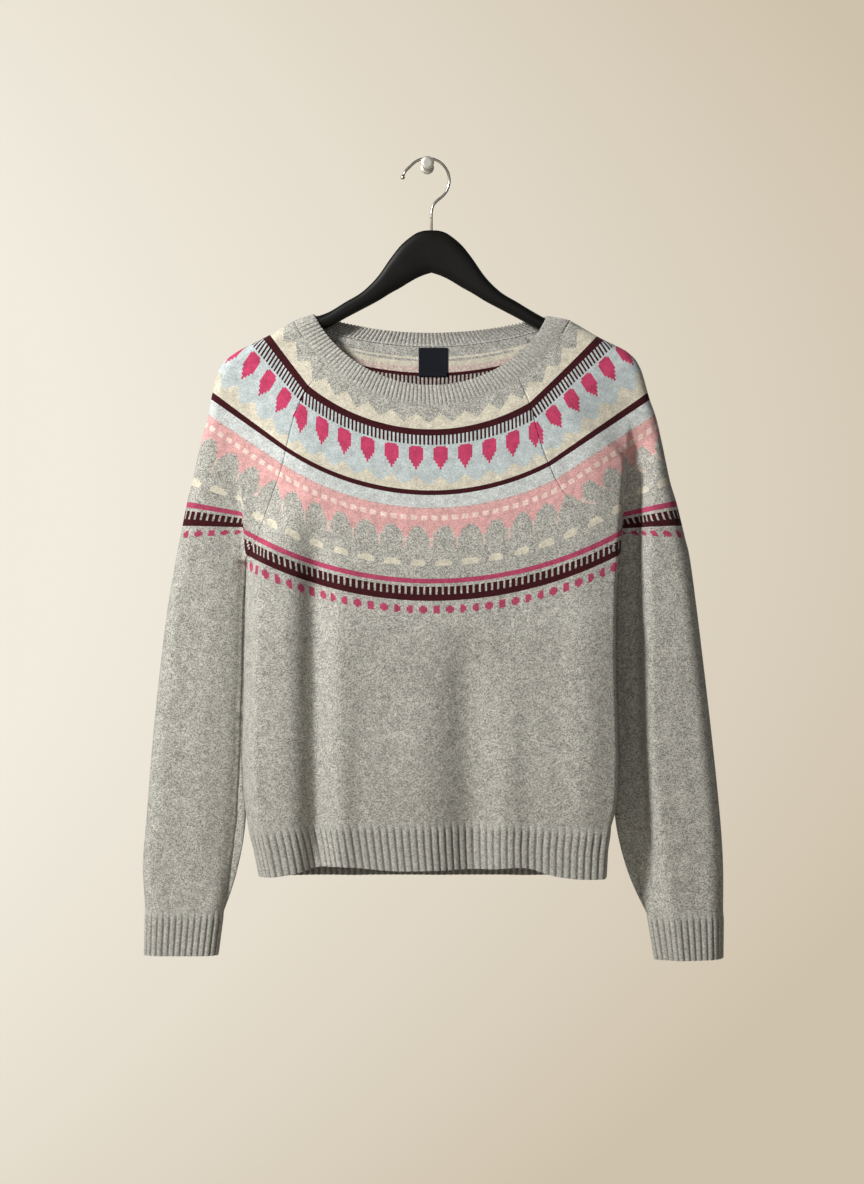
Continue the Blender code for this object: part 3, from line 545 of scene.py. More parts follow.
# How far the front of each sleeve lies behind the body's side, which folds over it: one
# row for each side. The recess falls within its step, stays flat, then rises again.
RECESS_COLUMNS = ("top_z", "full_z", "depth", "width")
RECESSES = {-1: (-300.0, -400.0, 4.0, 30.0), 1: (-268.0, -340.0, 20.0, 26.0)}
RECESS_STEP = 4.0
RECESS_FLAT = 8.0
RECESS_END_Z = -800.0
RECESS_FADE = 90.0


def recess(past, z, side):
    """Depth of the recess beside the body: a smooth step down, times a smooth step up,
    grown from its top and faded towards the cuff."""
    top_z, full_z, depth, width = RECESSES[side]
    grown = ease((top_z - z) / (top_z - full_z)) * ease((z - RECESS_END_Z) / RECESS_FADE)
    return depth * grown * ease(past / RECESS_STEP) * (1.0 - ease((past - RECESS_FLAT) / width))


def cloth(x, z, face, piece):
    """Points on the outside of the cloth over picture points (x, z). The cloth leaves
    its middle plane by a quarter ellipse over the width of the nearest fold, and the
    body adds its bulge less its creases."""
    x = np.asarray(x, dtype=float)
    z = np.asarray(z, dtype=float)
    sign = -1.0 if face == "front" else 1.0
    pair = FOLD_FRONT if face == "front" else FOLD_BACK
    down = ease((UPPER_Z - z) / (UPPER_Z - LOWER_Z))
    fold = pair[0] + (pair[1] - pair[0]) * down
    edge_width = FOLD_WIDTH_SHOULDER + (FOLD_WIDTH_SLEEVE - FOLD_WIDTH_SHOULDER) * down
    share = np.ones(x.shape)
    sunk = np.zeros(x.shape)
    body_side = np.ones(x.shape, dtype=bool)
    for side in (-1, 1):
        here = x * side >= 0.0
        rows = SLEEVES[side]
        valley_x, valley_z = rows[UNDERARM][3], rows[UNDERARM][4]
        start_z = rows[5 if side < 0 else 4][4]
        above = z > valley_z
        outer = distance(x, z, EDGES[side]) / edge_width
        outer = np.where(above | (piece == "sleeve"), outer, 1.0)
        close = np.clip((z - valley_z) / (start_z - valley_z), 0.0, 1.0) ** 0.4
        beyond = (x - side_fold(z, side)) * side
        wide = np.where(beyond < 0.0, FOLD_WIDTH_BODY[side], FOLD_WIDTH_SLEEVE)
        valley = np.abs(beyond) / wide + close
        if piece == "body":
            fall = (side_line(z, side) - x) * side / FOLD_WIDTH_BODY[side]
        else:
            zs = column(rows, SLEEVE_COLUMNS, "in_z")
            inner = np.interp(-z, -zs, column(rows, SLEEVE_COLUMNS, "in_x"))
            fall = (x - inner) * side / FOLD_WIDTH_SLEEVE
        if piece == "sleeve" and face == "front":
            past = np.where(above, beyond, fall * FOLD_WIDTH_SLEEVE)
            sunk = np.where(here, recess(past, z, side), sunk)
            if side > 0:
                raised = ease((SLEEVE_LIFT_Z - z) / SLEEVE_LIFT_LENGTH)
                raised *= ease((past - SLEEVE_LIFT_START) / SLEEVE_LIFT_WIDTH)
                sunk = np.where(here, sunk - SLEEVE_LIFT * raised, sunk)
        least = np.minimum(outer, np.where(above, valley, fall))
        share = np.where(here, np.minimum(share, least), share)
        if piece == "sleeve":
            body_side = np.where(here, above, body_side)
    share = np.clip(share, 0.0, 1.0)
    round_off = np.sqrt(1.0 - (1.0 - share) ** 2)
    bulge = fold * round_off
    lift = body_rise(x, z, face) - crease(x, z, face) * round_off
    bulge = bulge + np.where(body_side, lift, 0.0)
    if piece == "body" and face == "front":
        low = ease((z - LOWER_Z + SIDE_LIFT_ABOVE) / -SIDE_LIFT_LENGTH)
        bulge = bulge + SIDE_LIFT * low * round_off
    bulge = np.maximum(bulge - sunk * np.where(sunk < 0.0, round_off, 1.0), 0.2 * bulge)
    return np.stack((x + GARMENT_X, MID_Y + sign * bulge, z), axis=-1)


# Yarns of the yoke, in the order of the chart numbers below
YARN_COLUMNS = ("yarn", "colour", "salt")
YARNS = (
    ("grey", "#a8a7a0", 0.6), ("cream", "#cdc7b6", 0.24), ("wine", "#3a1217", 0.35),
    ("blue", "#b7c1c2", 0.24), ("rose", "#bb4064", 0.2), ("pale", "#c2c7c6", 0.30),
    ("pink", "#d3a3a1", 0.24), ("white", "#e4ccc2", 0.2), ("raspberry", "#a84462", 0.30),
    ("blush", "#c9b6ad", 0.35),
)
GREY, CREAM, WINE, BLUE, ROSE, PALE, PINK, WHITE, RASPBERRY, BLUSH = range(10)
# Widths of the two motifs, and the wale of one middle of each
REPEAT = 12.0
PETAL_MIDDLE = 4.5
ARCH_REPEAT = 12.7
ARCH_MIDDLE = 6.2


def from_middle(wale, middle, repeat):
    """Distance in stitches from the nearest middle of a motif that repeats."""
    return np.abs((wale - middle + repeat / 2.0) % repeat - repeat / 2.0)


def chart(course, wale):
    """Yarn of each stitch from its course below the neck seam and its wale from the
    middle: one line for each band, each a plain rule of the two numbers."""
    yarn = np.full(np.shape(course), GREY)

    def band(start, end, colour, where=True):
        yarn[(course >= start) & (course < end) & where] = colour

    petal = from_middle(wale + 0.5, PETAL_MIDDLE, REPEAT)
    arch = from_middle(wale + 0.5, ARCH_MIDDLE, ARCH_REPEAT)
    drip = from_middle(wale + 0.5, ARCH_MIDDLE + ARCH_REPEAT / 2.0, ARCH_REPEAT)
    # grey points reach down into cream, then the upper comb
    band(4, 15, CREAM, course - 4.5 >= 6.5 * petal / 6.0)
    band(15, 19, WINE)
    band(19, 54, BLUE)
    band(19, 25, WINE, wale % 2 < 1)
    # petals: flat top, bowed sides, a point at the foot
    band(26, 35, ROSE, petal <= 3.1)
    band(26, 27, BLUE, petal > 2.6)
    band(35, 37, ROSE, petal <= 2.1)
    band(37, 39, ROSE, petal <= 1.1)
    band(39, 41, ROSE, petal <= 0.6)
    # cream points rise below the petals
    band(45, 54, CREAM, course - 45.0 >= 5.0 * petal / 6.0)
    band(54, 57, WINE)
    band(57, 65, PALE)
    # pink band with small light dots, its lower edge hanging in points between arches
    band(65, 66, PINK, wale % 3 < 2)
    band(66, 77, PINK)
    light = from_middle(wale + 0.5, 1.5, 5.0)
    band(70, 73, WHITE, light <= 1.1)
    band(77, 79, PINK, drip <= 4.0)
    band(79, 81, PINK, drip <= 2.6)
    band(81, 84, PINK, drip <= 1.6)
    band(84, 91, BLUSH, drip <= 0.7)
    band(98, 102, CREAM, arch <= 3.7)
    band(98, 99, GREY, arch > 2.6)
    band(110, 113, RASPBERRY)
    band(115, 120, WINE, wale % 3 < 2)
    band(120, 124, WINE)
    dot = from_middle(wale + 0.5, 2.5, 6.4)
    band(127, 132, RASPBERRY, dot <= 1.7)
    band(127, 128, GREY, dot > 1.1)
    band(131, 132, GREY, dot > 1.1)
    return yarn


def middle_depth(k):
    """Picture height of body row k at the middle of the front."""
    z = np.concatenate((column(YOKE, YOKE_COLUMNS, "front_z"),
                        column(BODY, BODY_COLUMNS, "front_z")[1:RIB_TOP + 1]))
    return smooth(k, np.arange(len(z), dtype=float), z)


def rows_at(courses):
    """Body row number at each course: the middle of the front is read backwards."""
    fine = np.arange(0.0, UNDERARM + RIB_TOP + 0.001, 0.004)
    depth = middle_depth(0.0) - middle_depth(fine)
    return np.interp(courses * COURSE, depth, fine)


def panel_places(k, face, shares):
    """Picture points of body rows k: each row is an arc through its middle and the
    seams at its two ends."""
    top = np.arange(UNDERARM + 1)
    if face == "front":
        ends = {s: column(SLEEVES[s], SLEEVE_COLUMNS, "in_x")[top] for s in (-1, 1)}
        highs = {s: column(SLEEVES[s], SLEEVE_COLUMNS, "in_z")[top] for s in (-1, 1)}
    else:
        t = top / UNDERARM
        ends = {}
        highs = {}
        for s in (-1, 1):
            last = SLEEVES[s][UNDERARM]
            start_x = s * BACK_RAGLAN_X
            start_z = neck_back(np.array(start_x), BACK_SEAM_Z, "seam")
            ends[s] = (start_x + (last[3] - start_x) * t
                       + s * BACK_RAGLAN_BOW * t * (1.0 - t))
            highs[s] = start_z + (last[4] - start_z) * t
    keys = np.arange(UNDERARM + RIB_TOP + 1, dtype=float)
    low = slice(1, RIB_TOP + 1)
    side_z = column(BODY, BODY_COLUMNS, "side_z")[low]
    x = {}
    z = {}
    for s, name in ((-1, "left_x"), (1, "right_x")):
        whole = np.concatenate((ends[s], column(BODY, BODY_COLUMNS, name)[low]))
        x[s] = smooth(k, keys, whole) - s * SEAM / 2.0
        z[s] = smooth(k, keys, np.concatenate((highs[s], side_z)))
    middle = smooth(k, keys, np.concatenate((
        column(YOKE, YOKE_COLUMNS, face + "_z"),
        column(BODY, BODY_COLUMNS, face + "_z")[low])))
    radius = smooth(k, keys, np.concatenate((column(YOKE, YOKE_COLUMNS, "front_r"),
                                             np.full(RIB_TOP, 480.0))))[:, None]
    across = x[-1][:, None] + (x[1] - x[-1])[:, None] * shares
    left = across < 0.0
    end_x = np.where(left, x[-1][:, None], x[1][:, None])
    end_z = np.where(left, z[-1][:, None], z[1][:, None])
    sag = radius - np.sqrt(radius ** 2 - across ** 2)
    full = radius - np.sqrt(radius ** 2 - end_x ** 2)
    down = middle[:, None] + (end_z - middle[:, None]) * sag / full
    first = 1.0 - np.clip(k[:, None], 0.0, 1.0)
    if face == "back":
        down = down + (neck_back(across, BACK_SEAM_Z, "seam") - down) * first
    return across, down - NECK_GAP * first


def neck_back(x, middle_z, edge):
    """Height of the back neck line: a parabola from its middle to the shoulder."""
    seam = edge == "seam"
    left = (SLEEVE_LEFT[0][1], SLEEVE_LEFT[0][2]) if seam else NECK_END_LEFT
    right = (SLEEVE_RIGHT[0][1], SLEEVE_RIGHT[0][2]) if seam else NECK_END_RIGHT
    end_x = np.where(x < 0.0, left[0], right[0])
    end_z = np.where(x < 0.0, left[1], right[1])
    return middle_z + (end_z - middle_z) * (x / end_x) ** 2


def crowded(n):
    """Shares from 0 to 1 that crowd towards both ends."""
    return 0.5 - 0.5 * np.cos(np.linspace(0.0, math.pi, n + 1))


def knit(places, zero):
    """Grid of whole stitches over fine rows of points: along each row the length is
    counted in stitches from the row's zero, a number of steps along it, and points are
    set at each whole one. The row's two ends close it, so the outermost stitches are
    cut by the seam. Gives points, faces, each face's row and wale, and the wales of
    the rows' ends."""
    steps = np.linalg.norm(np.diff(places, axis=1), axis=2)
    run = np.concatenate((np.zeros((len(places), 1)), np.cumsum(steps, axis=1)), axis=1)
    counts = np.arange(places.shape[1], dtype=float)
    start_run = np.array([np.interp(zero[r], counts, run[r]) for r in range(len(run))])
    run = (run - start_run[:, None]) / STITCH
    low = run[:, 0]
    high = run[:, -1]
    first = np.ceil(low + 0.35).astype(int) - 1
    last = np.floor(high - 0.35).astype(int) + 1
    wales = np.arange(first.min(), last.max() + 1)
    kept = np.clip(wales[None, :], first[:, None], last[:, None])
    at = np.where(kept == first[:, None], low[:, None],
                  np.where(kept == last[:, None], high[:, None], kept))
    start = np.concatenate(([0], np.cumsum(last - first + 1)[:-1]))
    index = start[:, None] + kept - first[:, None]
    points = np.empty((int((last - first + 1).sum()), 3))
    for r in range(len(places)):
        line = np.stack([np.interp(at[r], run[r], places[r, :, a]) for a in range(3)], axis=1)
        points[index[r]] = line
    a = index[:-1, :-1]
    b = index[1:, :-1]
    c = index[1:, 1:]
    d = index[:-1, 1:]
    quads = np.stack((a, b, c, d), axis=-1).reshape(-1, 4)
    row, wale = np.meshgrid(np.arange(len(places) - 1), wales[:-1], indexing="ij")
    places_in = np.stack((row, wale), axis=-1).reshape(-1, 2)
    shut_top = quads[:, 0] == quads[:, 3]
    shut_foot = quads[:, 1] == quads[:, 2]
    whole = ~shut_top & ~shut_foot
    top_only = ~shut_top & shut_foot
    foot_only = shut_top & ~shut_foot
    faces = quads[whole].tolist()
    faces += quads[top_only][:, (0, 1, 3)].tolist()
    faces += quads[foot_only][:, (0, 1, 2)].tolist()
    cells = np.concatenate((places_in[whole], places_in[top_only], places_in[foot_only]))
    return points, faces, cells, low, high


# Marled lambswool knit: dark and light grey hairs twisted together, so the grey looks
# salted close up; a soft matt surface with a faint halo at grazing light
def woollen(name, attribute):
    """Marled knit: the yarn's colour, speckled as strongly as the yarn's own salt says."""
    made, tree, shader = new_material(name, Roughness=0.95, Sheen_Weight=0.06,
                                      Sheen_Roughness=0.5)
    shader.inputs["Specular IOR Level"].default_value = 0.15
    coords = node(tree, "ShaderNodeTexCoord")
    paint = node(tree, "ShaderNodeAttribute", {"attribute_name": attribute})
    # flecks 0.8 mm across, drawn coarser than the real ones so that they show
    fleck = node(tree, "ShaderNodeTexVoronoi", {"Scale": 1250.0},
                 {"Vector": coords.outputs["Object"]})
    grey = node(tree, "ShaderNodeSeparateColor", None, {0: fleck.outputs["Color"]})
    cloud = node(tree, "ShaderNodeTexNoise", {"Scale": 120.0, "Detail": 3.0},
                 {"Vector": coords.outputs["Object"]})
    signed = node(tree, "ShaderNodeMath", {"operation": "MULTIPLY_ADD", 1: 2.0, 2: -1.0},
                  {0: grey.outputs[0]})
    salted = node(tree, "ShaderNodeMath", {"operation": "MULTIPLY_ADD", 2: 1.0},
                  {0: signed.outputs[0], 1: paint.outputs["Alpha"]})
    drift = node(tree, "ShaderNodeMapRange",
                 {"From Min": 0.3, "From Max": 0.7, "To Min": 0.87, "To Max": 1.13},
                 {"Value": cloud.outputs[0]})
    strength = node(tree, "ShaderNodeMath", {"operation": "MULTIPLY"},
                    {0: salted.outputs[0], 1: drift.outputs[0]})
    tint = node(tree, "ShaderNodeVectorMath", {"operation": "SCALE"},
                {0: paint.outputs["Color"], "Scale": strength.outputs[0]})
    tree.links.new(tint.outputs[0], shader.inputs["Base Color"])
    fuzz = node(tree, "ShaderNodeBump", {"Strength": 0.5, "Distance": 0.0005},
                {"Height": fleck.outputs["Distance"]})
    tree.links.new(fuzz.outputs[0], shader.inputs["Normal"])
    return made


KNIT = woollen("marled_lambswool", "yarn")
# the same knit's wrong side, where the floats behind the yoke pattern show
KNIT_INSIDE = woollen("marled_lambswool_inside", "inside")


def crisp_rims(mesh):
    """Keep the open edges along rows sharp, so that a wall's cut edge is not shaded as
    a roll; steeper edges, as at the raglan seams, stay rolled and show as fine lines."""
    used = np.zeros(len(mesh.loops), dtype=np.int32)
    mesh.loops.foreach_get("edge_index", used)
    single = np.bincount(used, minlength=len(mesh.edges)) == 1
    ends = np.zeros(len(mesh.edges) * 2, dtype=np.int32)
    mesh.edges.foreach_get("vertices", ends)
    points = np.zeros(len(mesh.vertices) * 3, dtype=np.float32)
    mesh.vertices.foreach_get("co", points)
    run = np.abs(np.diff(points.reshape(-1, 3)[ends.reshape(-1, 2)], axis=1))[:, 0]
    level = run[:, 2] < 1.6 * run[:, 0]
    mesh.attributes.new("sharp_edge", "BOOLEAN", "EDGE").data.foreach_set(
        "value", single & level)


def thicken(made, thickness):
    """Give a surface its wall, inwards from the outside of the cloth."""
    thick = made.modifiers.new("wall", "SOLIDIFY")
    thick.thickness = thickness * MM
    thick.offset = -1.0
    return thick


def dress(name, points, faces, yarns, flip, inside=None):
    """A knitted shell: the yarn's colour on each face corner, and on the back panel
    that of its wrong side."""
    if flip:
        faces = [face[::-1] for face in faces]
    made = new_object(name, points, faces, KNIT)
    mesh = made.data
    counts = np.array([len(face) for face in faces])
    palette = np.array([linear(code)[:3] + (salt,) for name, code, salt in YARNS])
    corner = np.repeat(palette[yarns], counts, axis=0)
    paint = mesh.color_attributes.new("yarn", "FLOAT_COLOR", "CORNER")
    paint.data.foreach_set("color", corner.astype(np.float32).ravel())
    crisp_rims(mesh)
    thick = thicken(made, SHELL)
    if inside is not None:
        corner = np.repeat(palette[inside], counts, axis=0)
        paint = mesh.color_attributes.new("inside", "FLOAT_COLOR", "CORNER")
        paint.data.foreach_set("color", corner.astype(np.float32).ravel())
        mesh.materials.append(KNIT_INSIDE)
        thick.material_offset = 1
    return made


# Yarns behind the yoke, by depth below the back neck line, and on how many of two wales
INSIDE_COLUMNS = ("from", "to", "yarn", "wales_in_two")
INSIDE = (
    (9.0, 12.0, CREAM, 2),
    (14.0, 18.5, CREAM, 2),
    (18.5, 25.5, BLUSH, 2),
    (25.5, 29.5, WINE, 2),
    (29.5, 40.0, WINE, 1),
    (40.0, 90.0, BLUE, 2),
)


def wrong_side(points, faces, cells):
    """Yarn behind each stitch, from its depth in mm below the back neck line."""
    first = points[np.array([face[0] for face in faces])]
    depth = neck_back(first[:, 0] - GARMENT_X, BACK_SEAM_Z, "seam") - first[:, 2]
    yarn = np.full(len(faces), GREY)
    for start, end, colour, wales in INSIDE:
        yarn[(depth >= start) & (depth < end) & (cells[:, 1] % 2 < wales)] = colour
    return yarn


COURSES = 1 + int((middle_depth(0.0) - middle_depth(UNDERARM + 0.6)) / COURSE)


def panel(name, face):
    """Front or back: a row for every course of the yoke, then for every second one."""
    depth = middle_depth(0.0) - middle_depth(float(UNDERARM + RIB_TOP))
    fine = np.arange(0.0, COURSES)
    plain = np.linspace(COURSES, depth / COURSE,
                        int((depth / COURSE - COURSES) / PLAIN_COURSES))
    courses = np.concatenate((fine, plain))
    k = rows_at(courses)
    shares = crowded(260)
    x, z = panel_places(k, face, shares)
    places = cloth(x, z, face, "body")
    zero = np.array([np.interp(0.0, row, np.arange(len(row))) for row in x])
    points, faces, cells, low, high = knit(places, zero)
    yarns = chart(courses[cells[:, 0]], cells[:, 1])
    inside = wrong_side(points, faces, cells) if face == "back" else None
    made = dress(name, points, faces, yarns, face == "back", inside)
    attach(made, "root")
    return made, courses, low, high


front, courses, front_low, front_high = panel("knit_front", "front")
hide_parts("front")
back, courses, back_low, back_high = panel("knit_back", "back")
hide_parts("back")

# Sleeves
# The same knit as the body, with the yoke's bands carried over the shoulder; each is
# seamed to front and back along its raglans and closed with a seam below the underarm.
CUFF_TOP = 16
MIDDLE_COLUMNS = ("z", "left_x", "right_x")
MIDDLE_LINE = (
    (-190.0, -128.0, 116.0),
    (-265.0, -172.0, 162.0),
    (-342.0, -210.0, 206.0),
    (-421.0, -233.0, 236.0),
)
# The lower bands lie closer together on the sleeve than on the body
SLEEVE_LAST_EVEN = 111.0
SLEEVE_ROW_STEP = 0.05
# Bands that keep one place along the course, and the course at which they are set
BAND_COLUMNS = ("first", "set_at")
BANDS = ((0, 9), (15, 33), (57, 84), (105, 120))
STEP_HEIGHT = 18.0          # how far the rows are drawn up beside the body
ARC_SLANT = 1.15            # length along the front's arcs past the seam, for its X
BODY_CHART_FROM = 104.0     # course below which the front's arcs go on past the seam
PARTING_Z = -690.0          # where sleeve and body part
SLEEVE_PLAIN_ROWS = 114


def neck_reach(angle, radius, left, right):
    """Radius of a neck line on the front: an even arc that eases, over 0.08 of its
    length at each end, to the end points on the shoulders."""
    first = math.atan2(left[0], NECK_CENTRE_Z - left[1])
    last = math.atan2(right[0], NECK_CENTRE_Z - right[1])
    s = (angle - first) / (last - first)
    reach = radius + (math.hypot(left[0], left[1] - NECK_CENTRE_Z) - radius) * (
        1.0 - ease(s / 0.08))
    return reach + (math.hypot(right[0], right[1] - NECK_CENTRE_Z) - reach) * (
        1.0 - ease((1.0 - s) / 0.08))


def raglan_ends(k, side, face):
    """Picture points of the raglan seam or of the sleeve's inner fold at rows k."""
    rows = SLEEVES[side]
    keys = np.arange(len(rows), dtype=float)
    x = column(rows, SLEEVE_COLUMNS, "in_x")
    z = column(rows, SLEEVE_COLUMNS, "in_z")
    if face == "back":
        t = np.arange(UNDERARM) / UNDERARM
        start_x = side * BACK_RAGLAN_X
        start_z = neck_back(np.array(start_x), BACK_SEAM_Z, "seam")
        x[:UNDERARM] = (start_x + (x[UNDERARM] - start_x) * t
                        + side * BACK_RAGLAN_BOW * t * (1.0 - t))
        z[:UNDERARM] = start_z + (z[UNDERARM] - start_z) * t
    return smooth(k, keys, x) + side * SEAM / 2.0, smooth(k, keys, z)


def sleeve_places(k, side, face, shares):
    """Picture points of sleeve rows k from the inner end to the outer fold: straight
    rows, cut by the neck seam at the top, and drawn up on the front beside the fold
    between sleeve and body."""
    rows = SLEEVES[side]
    keys = np.arange(len(rows), dtype=float)
    out_x = smooth(k, keys, column(rows, SLEEVE_COLUMNS, "out_x"))[:, None]
    out_z = smooth(k, keys, column(rows, SLEEVE_COLUMNS, "out_z"))[:, None]
    in_x, in_z = raglan_ends(k, side, face)
    in_x = in_x[:, None]
    in_z = in_z[:, None]
    # below the underarm the sleeve's inner fold lies against the body's side
    body_x = side_line(np.maximum(in_z, PARTING_Z), side) - side * 0.2
    touch = ease((k[:, None] - UNDERARM) / 0.5) * np.clip((CUFF_TOP - k[:, None]) / 2.2, 0, 1)
    in_x = in_x + (body_x - in_x) * touch
    x = in_x + (out_x - in_x) * shares
    z = in_z + (out_z - in_z) * shares
    # the top row follows the neck seam, and the rows of the first step ease to it
    first = 1.0 - np.clip(k[:, None], 0.0, 1.0)
    top_x, top_z = raglan_ends(np.zeros(1), side, face)
    x_0 = top_x + (rows[0][1] - top_x) * shares
    z_0 = top_z + (rows[0][2] - top_z) * shares
    if face == "front":
        arc = neck_reach(np.arctan2(x_0, NECK_CENTRE_Z - z_0), NECK_SEAM_R,
                         SLEEVE_LEFT[0][1:3], SLEEVE_RIGHT[0][1:3])
        seam_z = NECK_CENTRE_Z - np.sqrt(np.maximum(arc ** 2 - x_0 ** 2, 0.0))
    else:
        seam_z = neck_back(x_0, BACK_SEAM_Z, "seam")
    z = z + (seam_z - z_0) * first
    if face == "front":
        valley_x = side_fold(z, side)
        past = (x - valley_x) * side
        span = np.maximum((out_x - valley_x) * side, 1.0)
        draw = ease((past + 2.0) / 4.0) * np.clip(1.0 - past / span, 0.0, 1.0)
        when = ease((k[:, None] - 6.0) / 2.0) * ease(10.0 - k[:, None])
        z = z + STEP_HEIGHT * draw * when
    reach = np.hypot(x, z - NECK_CENTRE_Z)
    gap = NECK_GAP * first / reach
    return x + gap * x, z + gap * (z - NECK_CENTRE_Z)


def band_shift(course, own_edge, body_edge):
    """Stitches between the sleeve's count and the body's at their seam, held at one
    value over each group of bands."""
    shift = np.zeros(len(course))
    for first, set_at in BANDS:
        shift[course >= first] = np.interp(set_at, course, body_edge - own_edge)
    return np.round(shift)


def body_chart(x, z, side, own):
    """Yarn of stitches at picture points between the raglan and the underarm valley,
    where the front's arcs go on: the arc through each point gives its course, and the
    length past the seam its wale. Above BODY_CHART_FROM the sleeve's own yarn stays."""
    k = np.linspace(5.0, 11.0, 241)
    end_x, end_z = panel_places(k, "front", np.array((0.0, 1.0)))
    end_x = end_x[:, 0 if side < 0 else 1]
    end_z = end_z[:, 0 if side < 0 else 1]
    middle = middle_depth(k)
    radius = smooth(k, np.arange(UNDERARM + 1.0), column(YOKE, YOKE_COLUMNS, "front_r"))
    full = radius - np.sqrt(radius ** 2 - end_x ** 2)
    sag = radius - np.sqrt(np.maximum(radius ** 2 - x[:, None] ** 2, 0.0))
    arcs = middle + (end_z - middle) * sag / full
    nearest = np.argmin(np.abs(arcs - z[:, None]), axis=1)
    course = (middle_depth(0.0) - middle_depth(k[nearest])) / COURSE
    edge = np.interp(course, courses, front_low if side < 0 else front_high)
    wale = edge + (x - end_x[nearest]) * ARC_SLANT / STITCH
    return np.where((course > BODY_CHART_FROM) | (own[0] > BODY_CHART_FROM),
                    chart(course, np.round(wale)), own[1])


def sleeve(name, side):
    """Sleeve: one ring of stitches for each course, from the front raglan round the
    outer fold to the back raglan."""
    rows = SLEEVES[side]
    number = np.arange(float(COURSES))
    seam = rows_at(np.minimum(number, SLEEVE_LAST_EVEN))
    seam = seam + np.maximum(number - SLEEVE_LAST_EVEN, 0.0) * SLEEVE_ROW_STEP
    below = np.linspace(seam[-1], CUFF_TOP, SLEEVE_PLAIN_ROWS + 1)[1:]
    k = np.concatenate((seam, below))
    course = np.concatenate((number, COURSES + 2.0 * np.arange(SLEEVE_PLAIN_ROWS)))
    shares = crowded(70)
    x_front, z_front = sleeve_places(k, side, "front", shares)
    x_back, z_back = sleeve_places(k, side, "back", shares)
    near = cloth(x_front, z_front, "front", "sleeve")
    far = cloth(x_back, z_back, "back", "sleeve")
    places = np.concatenate((near, far[:, ::-1][:, 1:]), axis=1)
    name_x = "left_x" if side < 0 else "right_x"
    # wales are counted from the sleeve's own middle line, where it crosses each row
    middle_x = np.interp(-z_front, -column(MIDDLE_LINE, MIDDLE_COLUMNS, "z"),
                         column(MIDDLE_LINE, MIDDLE_COLUMNS, name_x))
    off = x_front - middle_x
    steps = np.arange(len(shares), dtype=float)
    zero = np.array([np.interp(0.0, row * side, steps) for row in off])
    zero = np.where(k < UNDERARM, zero, zero[np.searchsorted(k, UNDERARM) - 1])
    points, faces, cells, low, high = knit(places, zero)
    body_low = front_low if side < 0 else -front_high
    body_edge = np.interp(course, courses, body_low) * -1.0
    shift = band_shift(course, low, body_edge)
    yarns = chart(course[cells[:, 0]], side * (cells[:, 1] + shift[cells[:, 0]]))
    corner = points[np.array([(face[0], face[2]) for face in faces])].mean(axis=1)
    x = corner[:, 0] - GARMENT_X
    body = (corner[:, 1] < MID_Y) & ((x - side_fold(corner[:, 2], side)) * side < 0.0)
    body &= corner[:, 2] > rows[UNDERARM][4]
    yarns[body] = body_chart(x[body], corner[body, 2], side,
                             (course[cells[body, 0]], yarns[body]))
    made = dress(name, points, faces, yarns, side < 0)
    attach(made, "root")
    return made


sleeve_left = sleeve("knit_sleeve_left", -1)
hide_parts("sleeve_left")
sleeve_right = sleeve("knit_sleeve_right", 1)
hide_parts("sleeve_right")

# Neck trim
# Ribbed trim of the same marled yarn, linked to the panels and sleeves all round.
NECK_OPENING_R = 140.0
BACK_TOP_Z = -177.7
NECK_RIBS = 150
NECK_RISE = 0.45
RIB_RISE = 0.9
RIB_STEPS = 8
GROOVE = 0.17               # width of a groove's bell, as a share of one rib
GROOVE_DEPTH = 0.5
TRIM_SWELL = 0.8            # how far the neck trim swells across its width


def ribs(levels, count, rise, inward, closed):
    """Ribbed wall over rows of points: along the middle row the length is cut into
    equal ribs, each flat on top with a narrow groove beside it: the rise less a bell
    over the groove, growing from nothing at the first row, where the trim is knitted
    on. Gives points, faces and each point's share out of the groove."""
    middle = levels[len(levels) // 2]
    steps = np.linalg.norm(np.diff(middle, axis=0), axis=1)
    run = np.concatenate(([0.0], np.cumsum(steps)))
    wanted = np.linspace(0.0, run[-1], count * RIB_STEPS + 1)
    rows = np.stack([np.stack([np.interp(wanted, run, line[:, a]) for a in range(3)],
                              axis=1) for line in levels])
    along = np.gradient(rows, axis=1)
    if closed:
        ends = rows[:, 1] - rows[:, -2]
        along[:, 0] = ends
        along[:, -1] = ends
    down = np.gradient(rows, axis=0)
    normals = np.cross(along, down)
    normals /= np.maximum(np.linalg.norm(normals, axis=2), 1e-9)[:, :, None]
    away = np.sign((normals * (rows - inward)).sum(axis=2).mean())
    normals *= away
    phase = (np.arange(count * RIB_STEPS + 1) / RIB_STEPS + 0.5) % 1.0 - 0.5
    out = 1.0 - np.exp(-(phase / GROOVE) ** 2)
    grown = np.minimum(np.linspace(0.0, 1.0, len(rows)) / 0.2, 1.0)[:, None]
    height = (out * (rise + GROOVE_DEPTH) - GROOVE_DEPTH)[None, :] * grown
    rows = rows + normals * height[:, :, None]
    # the share out of the groove, which paints shade into the grooves, fades in with the ribs
    # and is weaker where the rise is lower
    out = 1.0 - (1.0 - out[None, :]) * grown * rise / RIB_RISE
    n = rows.shape[1]
    last = n - 1 if closed else n
    points = rows[:, :last].reshape(-1, 3)
    r, c = np.meshgrid(np.arange(rows.shape[0] - 1), np.arange(n - 1), indexing="ij")
    d = (c + 1) % last
    quads = np.stack((r * last + c, (r + 1) * last + c, (r + 1) * last + d,
                      r * last + d), axis=-1).reshape(-1, 4)
    if away > 0:
        quads = quads[:, ::-1]
    return points, quads.tolist(), out[:, :last].ravel()


# Ribbed marled lambswool: as the body's knit, a little warmer and denser
RIB, tree, shader = new_material("ribbed_lambswool", Roughness=0.95, Sheen_Weight=0.06,
                                 Sheen_Roughness=0.5)
shader.inputs["Specular IOR Level"].default_value = 0.15
coords = node(tree, "ShaderNodeTexCoord")
